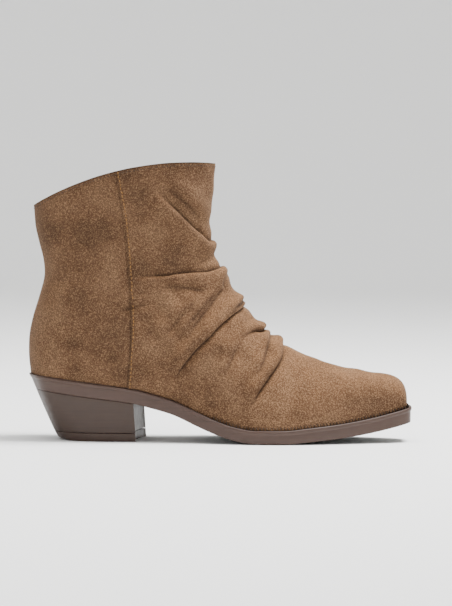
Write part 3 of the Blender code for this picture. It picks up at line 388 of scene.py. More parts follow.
def make_piece(name, points, faces, finishes, body="boot", sharp=40, which=None,
               values=None):
    """Mesh object on a body. Points in one place are welded, and a face keeps the corners that are
    left. It may have a finish number for each face and named values on its points."""
    _, first, again = np.unique(np.round(points / 2e-6), axis=0, return_index=True, return_inverse=True)
    corners = again.reshape(-1)[faces]
    kept = corners != np.roll(corners, 1, axis=1)
    whole = kept.sum(1) >= 3
    corners, kept = corners[whole], kept[whole]
    sizes = kept.sum(1)
    mesh = bpy.data.meshes.new(name)
    mesh.vertices.add(len(first))
    mesh.vertices.foreach_set("co", points[first].astype(np.float32).ravel())
    mesh.loops.add(int(sizes.sum()))
    mesh.loops.foreach_set("vertex_index", corners[kept].astype(np.int32))
    mesh.polygons.add(len(sizes))
    starts = np.cumsum(sizes) - sizes
    mesh.polygons.foreach_set("loop_start", starts.astype(np.int32))
    if which is not None:
        mesh.polygons.foreach_set("material_index", np.asarray(which, np.int32)[whole])
    mesh.update(calc_edges=True)
    mesh.shade_smooth()
    mesh.set_sharp_from_angle(angle=math.radians(sharp))
    for finish in finishes if isinstance(finishes, (list, tuple)) else [finishes]:
        mesh.materials.append(finish)
    for key, numbers in (values or {}).items():
        layer = mesh.attributes.new(key, "FLOAT", "POINT")
        layer.data.foreach_set("value", np.asarray(numbers, np.float32)[first])
    made = bpy.data.objects.new(name, mesh)
    bpy.context.scene.collection.objects.link(made)
    if body:
        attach(made, body)
    return made


print("faces of a grid of 3 by 4 points:", len(grid_faces(3, 4)))


# %% Directions and even steps
def normals_of(points, faces):
    """Unit normals of the points: each face's cross product of diagonals, summed at its corners."""
    a, b, c, d = (points[faces[:, k]] for k in range(4))
    cross = np.cross(c - a, d - b)
    total = np.zeros_like(points)
    for k in range(4):
        np.add.at(total, faces[:, k], cross)
    return total / np.maximum(np.linalg.norm(total, axis=1, keepdims=True), 1e-12)


def evenly(points, count, *more):
    """Points at equal steps along a polyline, and what else is known along it at the same places."""
    run = np.concatenate([[0], np.cumsum(np.linalg.norm(np.diff(points, axis=0), axis=1))])
    at = np.linspace(0, run[-1], count)
    rows = [points, *more]
    even = [np.stack([np.interp(at, run, row.reshape(len(run), -1)[:, k])
                      for k in range(row.reshape(len(run), -1).shape[1])], 1) for row in rows]
    return even if more else even[0]


def unit(vectors):
    """Vectors divided by their lengths."""
    return vectors / np.maximum(np.linalg.norm(vectors, axis=-1, keepdims=True), 1e-12)


def surface_normal(side, s, q):
    """Outward normal of the smooth form: the cross product of its two directions."""
    q, s = np.clip(q, 0.01, 0.99), np.clip(s, 0.05, COLLAR_ROW - 0.01)
    along_s = last_surface(side, s + 0.02, q) - last_surface(side, s - 0.02, q)
    along_q = last_surface(side, s, q + 0.005) - last_surface(side, s, q - 0.005)
    return unit(np.cross(along_s, along_q) * side)


outward = surface_normal(OUTER, np.array([9.0]), np.array([0.5]))[0]
print("outward at the vamp's side:", outward.round(2))

# %% [markdown]
# ## The zip's line
#
# The zip climbs the inner side from the waist of the sole to the collar. Its centre line is given in
# the side view. At each point of it there are three directions: up the zip, across it towards the
# toe, and out of the boot. Slot, tapes, teeth and stitches all use them.

# %% Zip line
ZIP_LINE = np.array([(-0.155, 0.215), (-0.218, 0.335), (-0.284, 0.445), (-0.342, 0.560),
                     (-0.386, 0.680), (-0.416, 0.790), (-0.440, 0.890), (-0.462, 0.985)])
SLOT_BOTTOM, SLOT_TOP = 0.0074, 0.0150


def zip_frames(shares):
    """Centre, up, front and out at shares of the zip's length. Below the sole's end of the slot, and
    in its last twentieth below the collar, the line runs straight on."""
    path = spline(np.linspace(0, 1, len(ZIP_LINE)), ZIP_LINE, np.linspace(0, 1, 240))
    path = path * (HALF, FRONT_HEIGHT)
    s, q = locate(INNER, path[:, 0], path[:, 1])
    points, normals = last_surface(INNER, s, q), surface_normal(INNER, s, q)
    run = np.concatenate([[0], np.cumsum(np.linalg.norm(np.diff(points, axis=0), axis=1))])
    tables = points, np.gradient(points, run, axis=0), normals
    held = np.clip(shares, 0, 0.95)
    centre, up, out = (np.stack([np.interp(held, run / run[-1], table[:, k]) for k in range(3)], 1)
                       for table in tables)
    up = unit(up)
    centre = centre + up * ((shares - held) * run[-1])[:, None]
    front = unit(np.cross(out, up))
    return centre, up, front, np.cross(up, front), run[-1]


ZIP_RUN = np.linspace(-0.08, 1.15, 500)
ZIP = zip_frames(ZIP_RUN)
print("zip length, mm:", round(ZIP[4] / MM, 1))


def zip_place(points):
    """Share along the zip, distance across it and distance out of it, for any points."""
    centre, up, front, out, length = ZIP
    nearest = np.zeros(len(points), int)
    for part in np.array_split(np.arange(len(points)), max(1, len(points) // 4000)):
        gap = points[part][:, None] - centre[None, ::4]
        nearest[part] = np.argmin((gap**2).sum(2), axis=1) * 4
    away = points - centre[nearest]
    along = (away * up[nearest]).sum(1)
    return (ZIP_RUN[nearest] + along / length, (away * front[nearest]).sum(1),
            (away * out[nearest]).sum(1))


def slot_half(share):
    """Half the slot's width: even up to a third of the way, then opening towards the collar."""
    return (SLOT_BOTTOM + (SLOT_TOP - SLOT_BOTTOM) * np.clip((share - 0.35) / 0.65, 0, None) ** 2) / 2


# %% [markdown]
# ## Slouch folds
#
# Soft suede that is pushed down on itself makes pleats: on one side of a crease the leather rolls up
# and leans over, on the other it dips. Each fold here is a line over the boot, placed in the side
# view. On its proud side the sheet comes up out of the crease, goes round a roll and settles back to
# the last, so a sharp pleat really overhangs and casts its own shadow.

# %% Table of folds
# Each fold: which side lies over the other (1 the upper one, -1 the lower one), roll height, roll
# width, tail over which the roll settles, crease depth, overhang, fade-in and fade-out as shares of
# its length, then its points as (side, x, z) with side 0 on the ridge. Lengths are in millimetres
FOLDS = [
    (1, 2.8, 4.2, 4.0, 1.8, 1.2, 0.25, 0.12, [
        (1, 16, 33), (1, 22, 42), (1, 28, 50.5), (1, 36, 61), (0, 43.8, 69.5), (-1, 43.3, 62),
        (-1, 40.3, 55), (-1, 36, 49), (-1, 31, 42.3), (-1, 26.5, 35.7), (-1, 23.6, 29.5),
        (-1, 21.5, 24)]),
    (1, 1.6, 3.4, 4.0, 1.0, 0.3, 0.25, 0.25, [
        (1, 24, 60), (0, 35.5, 75), (-1, 33, 67), (-1, 30.5, 58), (-1, 26, 49), (-1, 20, 39)]),
    (1, 3.1, 3.2, 3.8, 1.6, 1.0, 0.15, 0.3, [
        (1, -6.5, 41), (1, -3.5, 48.5), (1, 0, 57), (1, 4.8, 64.5), (1, 12, 73), (1, 21, 78.5),
        (0, 31, 79), (-1, 25, 77.5), (-1, 18, 74), (-1, 11, 69)]),
    (1, 2.7, 5.5, 4.5, 1.8, 1.7, 0.18, 0.12, [
        (1, -7, 83), (1, 0, 85.5), (1, 7, 89), (0, 15.0, 93.0), (-1, 10.5, 90.0), (-1, 4.5, 85.5),
        (-1, -2.5, 79.3), (-1, -8.4, 72.8), (-1, -15.5, 66.3), (-1, -24, 56.3), (-1, -29, 48.5),
        (-1, -32.5, 41.5)]),
    (1, 0.7, 3.2, 3.5, 1.0, 0.0, 0.2, 0.4, [
        (-1, 3, 109), (-1, -3, 100), (-1, -11, 90), (-1, -19, 79), (-1, -26, 67)]),
    (1, 0.5, 2.2, 2.2, 1.8, 0.6, 0.15, 0.4, [
        (1, 2, 95), (0, 12.7, 97.5), (-1, 9.5, 94.5), (-1, 5.5, 90.5), (-1, 0, 86)]),
    (1, 0.0, 4.0, 4.0, 1.0, 0.0, 0.25, 0.35, [
        (-1, 0, 106), (-1, -10, 96), (-1, -20, 84), (-1, -28, 72)]),
    (-1, 1.5, 3.2, 8.0, 1.5, 0.9, 0.2, 0.22, [
        (1, -23, 126), (1, -12, 122.5), (0, -3.6, 118.0), (-1, -9, 117.8), (-1, -19, 117.0),
        (-1, -32, 115.8), (-1, -46, 114.6), (-1, -66, 114.2)]),
    (-1, 3.6, 3.6, 9.0, 1.6, 0.6, 0.2, 0.4, [
        (1, -13, 142.5), (0, -8.5, 138.4), (-1, -11, 140.4), (-1, -18, 147), (-1, -25.5, 154.5),
        (-1, -33.5, 162.5), (-1, -43, 171.5), (-1, -52, 181)]),
    (1, 0.8, 3.4, 5.0, 0.9, 0.2, 0.25, 0.35, [
        (1, -6, 109), (0, 2.0, 114), (-1, 1.5, 109), (-1, 3.5, 104), (-1, 0, 98)]),
    (1, 1.0, 6.5, 7.0, 1.0, 0.0, 0.35, 0.35, [
        (-1, -6, 107), (-1, -16, 105.5), (-1, -30, 107.5), (-1, -44, 105)]),
    (1, 1.9, 5.0, 7.0, 1.2, 0.0, 0.3, 0.35, [
        (-1, -12.5, 151.5), (-1, -17, 158), (-1, -24, 165), (-1, -33, 172.5), (-1, -43, 179)]),
    (1, 2.6, 4.0, 5.0, 1.5, 0.6, 0.25, 0.15, [
        (1, 15, 58), (1, 10, 50), (1, 7, 42), (1, 5.5, 32), (1, 5, 20)]),
    (1, 1.2, 4.5, 7.0, 0.8, 0.0, 0.35, 0.35, [
        (-1, -44, 98), (-1, -58, 94), (-1, -74, 91)]),
    (1, 0.9, 4.0, 6.0, 0.6, 0.0, 0.35, 0.35, [
        (-1, -18, 96), (-1, -30, 84), (-1, -40, 70)]),
    (1, 0.8, 3.5, 5.0, 0.6, 0.0, 0.35, 0.35, [
        (-1, 14, 70), (-1, 7, 56), (-1, 2, 42)]),
    (1, 0.9, 3.5, 5.0, 0.5, 0.0, 0.35, 0.35, [
        (1, 2, 84), (1, -8, 76), (1, -18, 72)]),
    (1, 1.7, 4.5, 7.0, 1.8, 0.4, 0.3, 0.3, [
        (1, -25, 93), (1, -15, 94), (1, -9, 97), (1, -4, 102.5), (1, -1, 108)]),
    (1, 1.8, 3.5, 6.0, 1.6, 0.6, 0.25, 0.3, [
        (1, -21, 114), (1, -14.5, 110), (1, -8.5, 110), (1, -4.5, 112.5), (1, -2.5, 117)]),
    (1, 3.2, 3.6, 6.0, 2.0, 1.4, 0.25, 0.28, [
        (1, -38, 131), (1, -30, 134.5), (1, -23, 136), (1, -17, 136.5), (1, -11, 135), (1, -6.5, 131)]),
    (1, 0.8, 7.0, 9.0, 0.3, 0.0, 0.4, 0.4, [
        (-1, -122, 111), (-1, -108, 112.5), (-1, -92, 113)]),
]
print("folds:", len(FOLDS))


# %% [markdown]
# A fold needs two things: where its crease runs, with three directions at each of its points, and
# the profile across it. The shifts of all folds are then added, each fading at its ends, beyond its
# ends and on the far side of the boot.


# %% One fold
def fold_crest(points):
    """A fold's crease on the smooth form: places, directions along it, normals and directions to its
    lower side, at equal steps."""
    places = []
    for side, x, z in points:
        s, q = locate(side or OUTER, [x * MM], [z * MM])
        places.append((s[0], 0.0 if side == 0 else side * (1 - q[0])))
    knots = np.arange(len(places))
    s, v = np.moveaxis(spline(knots, places, np.linspace(0, knots[-1], 240)), -1, 0)
    _, s, v = evenly(wrapped(s, v), 90, s, v)
    s, v = s[:, 0], v[:, 0]
    crest = wrapped(s, v)
    face = np.where((v < 0)[:, None], surface_normal(OUTER, s, 1 - np.abs(v)),
                    surface_normal(INNER, s, 1 - np.abs(v)))
    along = unit(np.gradient(crest, axis=0))
    across = unit(np.cross(along, face))
    return crest, along, face, across * np.sign((across @ np.array([0.6, 0.0, -1.0])).mean())


def pleat(d, stand, width, tail, deep, lip):
    """Shift out and sideways at a distance d from the crease, counted towards the covered side, and
    the painted shade there, a narrow dark band along the crease. For u, the distance into the proud
    side over the roll's width, the sheet climbs as the sine of a quarter turn, leans over as the sine
    of a half turn, and settles as a bell past u = 1."""
    u = np.clip(-d / width, 0, 1)
    past = np.exp(-((np.clip(-d - width, 0, None) / tail) ** 2))
    climb = np.sin(u * np.pi / 2) ** 0.6 * np.where(d < 0, 1, 0)
    dip = np.exp(-((d / np.where(d > 0, 0.8 * width, 0.45 * width)) ** 2))
    out = stand * climb * past - deep * dip
    side = lip * (np.sin(np.pi * u) + 0.6 * u) * past
    return out, side, np.exp(-((d - 0.2) / 1.3) ** 2)


print("highest roll, mm:", round(float(pleat(np.linspace(-9, 9, 99), 3, 3, 4, 1.6, 1)[0].max()), 1))


# %% All folds
def fold_shift(points, normals):
    """Sum of all folds at the points, and the painted shade of each point along the creases."""
    shift, shade = np.zeros_like(points), np.zeros(len(points))
    for over, stand, width, tail, deep, lip, fade_in, fade_out, line in FOLDS:
        crest, along, face, across = fold_crest(line)
        across = across * over
        reach = (width + 2 * tail + 5) * MM
        near = ((points > crest.min(0) - reach) & (points < crest.max(0) + reach)).all(1)
        near = np.nonzero(near)[0]
        gap = points[near][:, None] - crest[None]
        k = np.argmin((gap**2).sum(2), axis=1)
        away = gap[np.arange(len(near)), k]
        d, past = (away * across[k]).sum(1) / MM, (away * along[k]).sum(1) / MM
        level = np.abs((away * face[k]).sum(1)) / MM
        t = k / (len(crest) - 1)
        fade = smooth(t / fade_in) * smooth((1 - t) / fade_out)
        fade = fade * np.exp(-((past / width) ** 2)) * smooth((normals[near] * face[k]).sum(1) * 1.6)
        fade = fade * smooth(2 - level / 9)
        out, side, line = pleat(d, stand, width, tail, deep, lip)
        shift[near] += ((fade * out)[:, None] * normals[near] + (fade * side)[:, None] * across[k]) * MM
        # Painted shade along each crease, stronger where the crease is deeper
        shade[near] = np.maximum(shade[near], fade * line * min(1.0, deep / 1.6))
    return shift, shade


print("highest fold, mm:", max(fold[1] for fold in FOLDS))

# %% [markdown]
# ## Upper
#
# The upper is one sheet: across a row it runs from the outer root over the ridge to the inner root.
# Rows and columns crowd where the folds are. After the folds come the smaller things that leather
# does: a lapped seam down the outer side, and shallow dents that a seeded random table spreads over
# the soft part of the shaft.

# %% Rows and columns
ROWS, COLUMNS = 331, 136
FOLDED, FOLDED_SPREAD = 13.5, 5.5  # the folds lie round this section of the table


def row_places(count):
    """Sections for the rows: equal steps of ridge and root length taken together, closer by half
    where the folds are."""
    s = np.linspace(0, COLLAR_ROW, 2000)
    ends = [last_surface(OUTER, s, np.full(len(s), q)) for q in (0.0, 0.5, 1.0)]
    step = sum(np.linalg.norm(np.diff(line, axis=0), axis=1) for line in ends)
    middle = (s[1:] + s[:-1]) / 2
    weight = 1 + 1.8 * np.exp(-((middle - FOLDED) / FOLDED_SPREAD) ** 2)
    run = np.concatenate([[0], np.cumsum(step * weight)])
    rows = np.interp(np.linspace(0, run[-1], count), run, s)
    rows[0], rows[2 * round(np.searchsorted(rows, HEEL_ROW) / 2)] = 0.04, HEEL_ROW
    return rows


def upper_grid(rows, columns):
    """Points of the smooth form: each half row is divided by length, closer near the ridge."""
    s = row_places(rows)
    fine = (1 - np.cos(np.linspace(0, np.pi, 500))) / 2
    even = np.linspace(0, 1, columns + 1)
    even = np.concatenate([[0], np.cumsum(1 + 0.25 * np.sin(np.pi * even[1:]) - 0.45 * even[1:] ** 2)])
    even /= even[-1]
    halves = []
    for side in (OUTER, INNER):
        dense = last_surface(side, s[:, None], fine[None])
        run = np.linalg.norm(np.diff(dense, axis=1), axis=2)
        run = np.concatenate([np.zeros((rows, 1)), np.cumsum(run, axis=1)], axis=1)
        q = np.array([np.interp(even * r[-1], r, fine) if r[-1] > 0 else even for r in run])
        halves.append(last_surface(side, np.broadcast_to(s[:, None], q.shape), q))
    return s, np.concatenate([halves[0], halves[1][:, -2::-1]], axis=1)


row_s, sheet = upper_grid(ROWS, COLUMNS)
print("sheet, points:", sheet.shape[:2])

# %% Grid of the upper
WIDE = sheet.shape[1]
heel_row = int(np.searchsorted(row_s, HEEL_ROW))
faces = grid_faces(ROWS, WIDE)
joined = np.arange(ROWS * WIDE)
joined[np.arange(heel_row, ROWS) * WIDE + WIDE - 1] = np.arange(heel_row, ROWS) * WIDE
faces = joined[faces]
points = sheet.reshape(-1, 3).copy()
base_normals = normals_of(points, faces)[joined]
print("faces:", len(faces), "facing out:", bool(base_normals[ROWS // 2 * WIDE + 40, 1] < 0))

# %% [markdown]
# The lapped seam is where the front panel lies over the back one: a step of a thin leather's
# thickness, with a fine groove along it. Two shorter ones bound a gusset on the inner side, below
# the zip. A bump map could fake them, but a real step also catches light along its edge.


# %% Seam line on the outer side
def line_on(side, rows, count=160):
    """A line of the side view, in millimetres, laid on the smooth form."""
    rows = np.array(rows, float) * MM
    path = spline(np.arange(len(rows)), rows, np.linspace(0, len(rows) - 1, count))
    s, q = locate(side, path[:, 0], path[:, 1])
    _, s, q = evenly(last_surface(side, s, q), count, s, q)
    return last_surface(side, s[:, 0], q[:, 0]), surface_normal(side, s[:, 0], q[:, 0])


def distance_to(points, line, face):
    """Signed distance from a line on the surface, towards the toe, and the nearest place on it."""
    along = unit(np.gradient(line, axis=0))
    ahead = unit(np.cross(along, face))
    ahead *= np.sign(ahead[:, :1].mean())
    gap = points[:, None] - line[None]
    k = np.argmin((gap**2).sum(2), axis=1)
    away = gap[np.arange(len(points)), k]
    return (away * ahead[k]).sum(1), (away * along[k]).sum(1), k, np.abs((away * face[k]).sum(1))


LAP_SEAM = [(-64.0, 36.5), (-61.5, 75), (-63.2, 110), (-66.8, 150), (-74.0, 192)]
GUSSET_BACK = [(-37.5, 62.5), (-50, 52), (-59, 45), (-70, 36)]
GUSSET_FRONT = [(-13.0, 42), (-10.5, 33), (-5.5, 25), (0.5, 17)]
# Side, line, and step in millimetres, which is below zero where the back panel lies on top
SEAMS = [(OUTER, LAP_SEAM, 0.75), (INNER, GUSSET_BACK, -0.45), (INNER, GUSSET_FRONT, 0.5)]
SEAM_LINES = [line_on(side, rows) for side, rows, _ in SEAMS]
print("seams:", len(SEAMS))


# %% Seam steps
SEAM_REACH = 16  # how far a seam is felt, in millimetres


def seam_steps(points, normals):
    """Shift of the seams, and the painted shade of each point along a seam's groove. Past the seam
    the sheet steps up and settles over 9 mm, and a groove runs just before the step."""
    shift, seam = np.zeros_like(points), np.zeros(len(points))
    for (side, _, rise), (line, face) in zip(SEAMS, SEAM_LINES):
        low, high = line.min(0) - SEAM_REACH * MM, line.max(0) + SEAM_REACH * MM
        near = ((points > low) & (points < high)).all(1) & (points[:, 1] * side > 0)
        near = np.nonzero(near)[0]
        d, past, _, _ = distance_to(points[near], line, face)
        d, reach = d / MM * np.sign(rise), np.exp(-((past / MM / 1.5) ** 2))
        step = abs(rise) * smooth((d + 0.3) / 0.7) * np.exp(-np.clip(d - 1, 0, None) / 9) * (d > -0.3)
        groove = 0.45 * np.exp(-((d + 0.5) / 0.6) ** 2)
        shift[near] += (reach * (step - groove) * MM)[:, None] * normals[near]
        # Painted shade: a dark band along the groove, as the shadow of the lapped edge
        seam[near] = np.maximum(seam[near], reach * np.exp(-((d + 0.35) / 0.7) ** 2))
    return shift, seam


print("highest seam step, mm:", max(abs(rise) for _, _, rise in SEAMS))


# %% Shape the upper
DENT_WAVES, DENT_HEIGHT = 26, 0.10 * MM
CALM_FROM, CALM_OVER = 5, 9  # the sheet lies flat beside the zip, then frees itself, in millimetres


def dents(points):
    """Sum of sines in random directions, 11 to 39 mm long, from a seeded table."""
    random = np.random.default_rng(7)
    wave = np.zeros(len(points))
    for _ in range(DENT_WAVES):
        turn = random.normal(size=3)
        turn /= np.linalg.norm(turn)
        wave += np.sin(points @ turn * random.uniform(0.16, 0.55) / MM + random.uniform(0, 6.3))
    return wave


def shape_upper(points, normals):
    """Folds, calm beside the zip and at the sole, then seam steps and small dents."""
    share, across, _ = zip_place(points)
    off_zip = np.hypot(across, np.clip(-share, 0, None) * ZIP[4]) / MM
    calm = np.where(points[:, 1] > 0, smooth((off_zip - CALM_FROM) / CALM_OVER), 1.0)
    ground = smooth((points[:, 2] - sole_top(points[:, 0])) / (CALM_OVER * MM))
    shift, shade = fold_shift(points, normals)
    steps, seam = seam_steps(points, normals)
    # The counter at the heel is stiff, so the dents there are a quarter as deep
    soft = smooth((points[:, 0] + 0.075) / 0.03) * smooth((points[:, 2] - 0.04) / 0.02)
    soft = (0.25 + 0.75 * soft) * calm * ground
    shift = shift * (calm * ground)[:, None] + steps
    shift += (DENT_HEIGHT * dents(points) * soft)[:, None] * normals
    # Painted shade: the last millimetre above the sole is darkened, where the upper meets the sole
    foot = (points[:, 2] - sole_top(points[:, 0])) / MM
    shade = np.maximum(shade, 0.45 * np.exp(-(foot / 0.8) ** 2))
    return points + shift, shade, seam


shaped, shade, seam = shape_upper(points, base_normals)
# A narrow dark line along the collar's edge
shaped_rows = shaped.reshape(ROWS, WIDE, 3)
collar_gap = np.linalg.norm(shaped_rows - shaped_rows[-1:], axis=2).ravel() / MM
shade = np.maximum(shade, 0.7 * np.exp(-collar_gap**2))
print("largest shift, mm:", round(float(np.linalg.norm(shaped - points, axis=1).max() / MM), 1))


# %% [markdown]
# The zip stands in a slot. Faces whose middle lies in the slot go, and the points round the hole move
# onto its true edge. Then every open edge of the sheet (collar, slot and lasting edge) is turned in
# by the thickness of the leather, which gives the upper its raw, slightly darker cut edge. The
# lining is a sheet of its own that runs wall-deep behind the suede.


# %% Slot, cut edges and lining
def slot_gap(points):
    """Distance from the slot's edge, below zero inside it, and the direction to move away from it."""
    share, across, out = zip_place(points)
    centre, up, front, _, length = ZIP
    k = np.clip(np.searchsorted(ZIP_RUN, share), 0, len(ZIP_RUN) - 1)
    side, end = np.abs(across) - slot_half(share), -share * length
    gap = np.maximum(side, end)
    gap = np.where((np.abs(out) < 9 * MM) & (points[:, 1] > 0), gap, 1.0)
    return gap, np.where((side > end)[:, None], front[k] * np.sign(across)[:, None], -up[k])


def cut_slot(points, faces, base):
    """Faces without the ones in the slot, and points moved onto its edge."""
    gap, away = slot_gap(base)
    inside = gap[faces].mean(1) < 0
    gone, left = np.zeros(len(points), bool), np.zeros(len(points), bool)
    gone[faces[inside]], left[faces[~inside]] = True, True
    edge = gone & left
    points = points.copy()
    points[edge] -= gap[edge, None] * away[edge]
    return points, faces[~inside]


def open_edges(faces):
    """Edges that only one face has, in the direction of that face."""
    pairs = np.concatenate([np.stack([faces[:, k], faces[:, (k + 1) % 4]], 1) for k in range(4)])
    key = np.sort(pairs, 1) @ np.array([faces.max() + 1, 1])
    _, first, count = np.unique(key, return_index=True, return_counts=True)
    return pairs[first[count == 1]]


def turn_in(points, faces, inner):
    """Adds a strip along every open edge, from the sheet's point to its inner point."""
    edges = open_edges(faces)
    low, high = edges.T
    strip = np.stack([high, low, low + len(points), high + len(points)], 1)
    return np.vstack([points, inner]), np.vstack([faces, strip]), len(faces)


print("open edges of the uncut sheet:", len(open_edges(faces)))

# %% Suede sheet and lining sheet
SHEET_DEPTH = WALL - 0.05 * MM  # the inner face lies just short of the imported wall's inner face
outer_points, outer_faces = cut_slot(shaped, faces, points)
inner_points = outer_points - base_normals * SHEET_DEPTH
skin, skin_faces, first_edge = turn_in(outer_points, outer_faces, inner_points)
which = (np.arange(len(skin_faces)) >= first_edge).astype(int)
print("faces of the suede:", len(skin_faces))

coarse = np.arange(ROWS * WIDE).reshape(ROWS, WIDE)[::2, ::2]
coarse_faces = joined[coarse.ravel()[grid_faces(*coarse.shape)]][:, ::-1]
lining_points, lining_faces = cut_slot(shaped - base_normals * SHEET_DEPTH, coarse_faces, points)
print("faces of the lining:", len(lining_faces))

# %% [markdown]
# ## Finishes
#
# Suede is the flesh side of leather, ground to a short nap. Its fibres stand in all directions, so
# it has no gloss, a soft bright rim where it curves away, and a fine mottle where fingers have
# brushed the nap one way or another. So the suede here is very rough, has sheen, and mixes its
# colour at four scales: broad patches, mottle, nap specks, and painted shade in the creases. Faces
# that look up also get painted light, a warmer and lighter tone.


# %% Material helpers
def colour(code):
    """Linear colour of an sRGB hex code."""
    parts = np.array([int(code[k:k + 2], 16) for k in (0, 2, 4)]) / 255
    linear = np.where(parts <= 0.04045, parts / 12.92, ((parts + 0.055) / 1.055) ** 2.4)
    return (*linear.tolist(), 1.0)


def finish(name, base, roughness, **sockets):
    """New material: its Principled shader with a base colour, a roughness and other sockets set."""
    made = bpy.data.materials.new(name)
    made.use_nodes = True
    shader = made.node_tree.nodes["Principled BSDF"]
    shader.inputs["Base Color"].default_value = colour(base)
    shader.inputs["Roughness"].default_value = roughness
    for key, value in sockets.items():
        shader.inputs[key.replace("_", " ")].default_value = value
    return made, made.node_tree, shader


print("linear value of the middle grey 808080:", round(colour("808080")[0], 3))


# %% Node helpers
def add(tree, kind, settings=None, **inputs):
    """Adds a node. An input is a value, or a socket to link from; a leading n counts the sockets."""
    node = tree.nodes.new("ShaderNode" + kind)
    for key, value in (settings or {}).items():
        setattr(node, key, value)
    for key, value in inputs.items():
        socket = node.inputs[int(key[1:]) if key[1:].isdigit() else key.replace("_", " ")]
        if isinstance(value, bpy.types.NodeSocket):
            tree.links.new(value, socket)
        else:
            socket.default_value = value
    return node


def grains(tree, millimetres, detail=3.0, roughness=0.55, stretch=(1, 1, 1)):
    """Noise with features of the given size in the object's own space."""
    place = add(tree, "TexCoord").outputs["Object"]
    scaled = add(tree, "Mapping", Vector=place, Scale=tuple(1000 * k / millimetres for k in stretch))
    return add(tree, "TexNoise", Vector=scaled.outputs[0], Scale=1.0, Detail=detail,
               Roughness=roughness).outputs["Fac"]


print("grains of 2 mm, in a metre:", 1000 // 2)


# %% Tone helpers
def ramp(tree, factor, stops):
    """Colour ramp through (place, hex) stops."""
    node = add(tree, "ValToRGB", Fac=factor)
    line = node.color_ramp
    while len(line.elements) < len(stops):
        line.elements.new(0.5)
    for element, (place, code) in zip(line.elements, stops):
        element.position, element.color = place, colour(code)
    return node.outputs[0]


def mix(tree, factor, below, above):
    """Mixes two colours by a factor, which is a value or a socket."""
    node = add(tree, "Mix", {"data_type": "RGBA"}, n0=factor)
    for socket, value in ((node.inputs[6], below), (node.inputs[7], above)):
        if isinstance(value, bpy.types.NodeSocket):
            tree.links.new(value, socket)
        else:
            socket.default_value = colour(value)
    return node.outputs[2]


def ranged(tree, value, low, high, to_low=0.0, to_high=1.0):
    """Straight line from one range to another, held at its ends."""
    return add(tree, "MapRange", n0=value, n1=low, n2=high, n3=to_low, n4=to_high).outputs[0]


def relief(tree, shader, height, millimetres, strength=1.0):
    """Bump of the given depth on a shader."""
    bump = add(tree, "Bump", Height=height, Distance=millimetres * MM, Strength=strength)
    tree.links.new(bump.outputs[0], shader.inputs["Normal"])


def two_tone(name, base, roughness, grain, dark, light, **sockets):
    """A finish whose colour wanders between a dark and a light tone over grains of a given size."""
    made, tree, shader = finish(name, base, roughness, **sockets)
    tone = ramp(tree, grains(tree, grain), [(0.35, dark), (0.65, light)])
    tree.links.new(tone, shader.inputs["Base Color"])
    return made, tree, shader


print("helpers are ready, finishes:", len(bpy.data.materials))


# %% Suede
def suede_finish(name, dark, middle, light):
    """Brushed split suede, dyed in the drum. From the ground up: patches of dye 26 mm across,
    painted light that makes faces which look up warmer and lighter, mottle of 9 mm left by the
    brush, dark roots and light tips of the nap, and painted shade read from the points' crease
    value. Real nap is far finer than a pixel, so it is drawn at 0.8 mm, the finest that shows."""
    made, tree, shader = finish(name, middle, 0.92, Sheen_Weight=0.10, Sheen_Roughness=0.45,
                                Specular_IOR_Level=0.18)
    shader.inputs["Sheen Tint"].default_value = colour("e0b489")
    patches, mottle = grains(tree, 26, 2.0), grains(tree, 9.0, 3.0)
    nap, brushed = grains(tree, 0.80, 1.0, 0.6), grains(tree, 1.8, 2.0, 0.7)
    facing = add(tree, "SeparateXYZ", n0=add(tree, "TexCoord").outputs["Normal"]).outputs["Z"]
    tone = ramp(tree, patches, [(0.33, dark), (0.5, middle), (0.67, light)])
    # Painted light: the more a face looks up, the more its colour goes towards a warm light tone
    tone = mix(tree, ranged(tree, facing, 0.15, 0.95, 0.0, 0.30), tone, "a8774a")
    tone = mix(tree, ranged(tree, mottle, 0.42, 0.68, 0.0, 0.26), tone, light)
    tone = mix(tree, ranged(tree, brushed, 0.38, 0.58, 0.13, 0.0), tone, dark)
    tone = mix(tree, ranged(tree, nap, 0.35, 0.58, 0.66, 0.0), tone, dark)
    tone = mix(tree, ranged(tree, nap, 0.50, 0.70, 0.0, 0.34), tone, "a88462")
    # Painted shade: the crease value darkens the colour towards a near black brown
    fold = add(tree, "Attribute", {"attribute_name": "crease"}).outputs["Fac"]
    tone = mix(tree, ranged(tree, fold, 0.1, 1.0, 0.0, 0.80), tone, "1f140c")
    tree.links.new(tone, shader.inputs["Base Color"])
    height = add(tree, "Math", {"operation": "MULTIPLY_ADD"}, n0=nap, n1=0.7, n2=brushed).outputs[0]
    relief(tree, shader, height, 0.30, 0.55)
    return made


suede = suede_finish("brushed_suede", "3c291b", "523a28", "654c37")

# A cut edge shows the leather's core, pressed and darkened with edge ink
suede_edge = two_tone("inked_suede_edge", "35241a", 0.8, 1.6, "2a1b12", "402b1e",
                      Specular_IOR_Level=0.25)[0]

# The lining is a thin pigskin, sanded smooth, with small pores
lining, tree, shader = two_tone("pigskin_lining", "a98d72", 0.62, 18, "9c8168", "b3987c",
                                Specular_IOR_Level=0.35)
relief(tree, shader, grains(tree, 0.9, 2.0), 0.12, 0.5)
print("finishes so far:", len(bpy.data.materials))

# %% [markdown]
# ## The suede upper and its lining
#
# On the real boot the suede and its lining are stitched together at the collar and beside the zip.
# They could be one thick sheet, but two sheets with a finish each are simpler, and both stand for
# the imported upper. A value on every point carries the painted shade of creases, seam grooves and
# the foot above the sole, and the dark line at the collar's edge, and the suede's finish reads it.

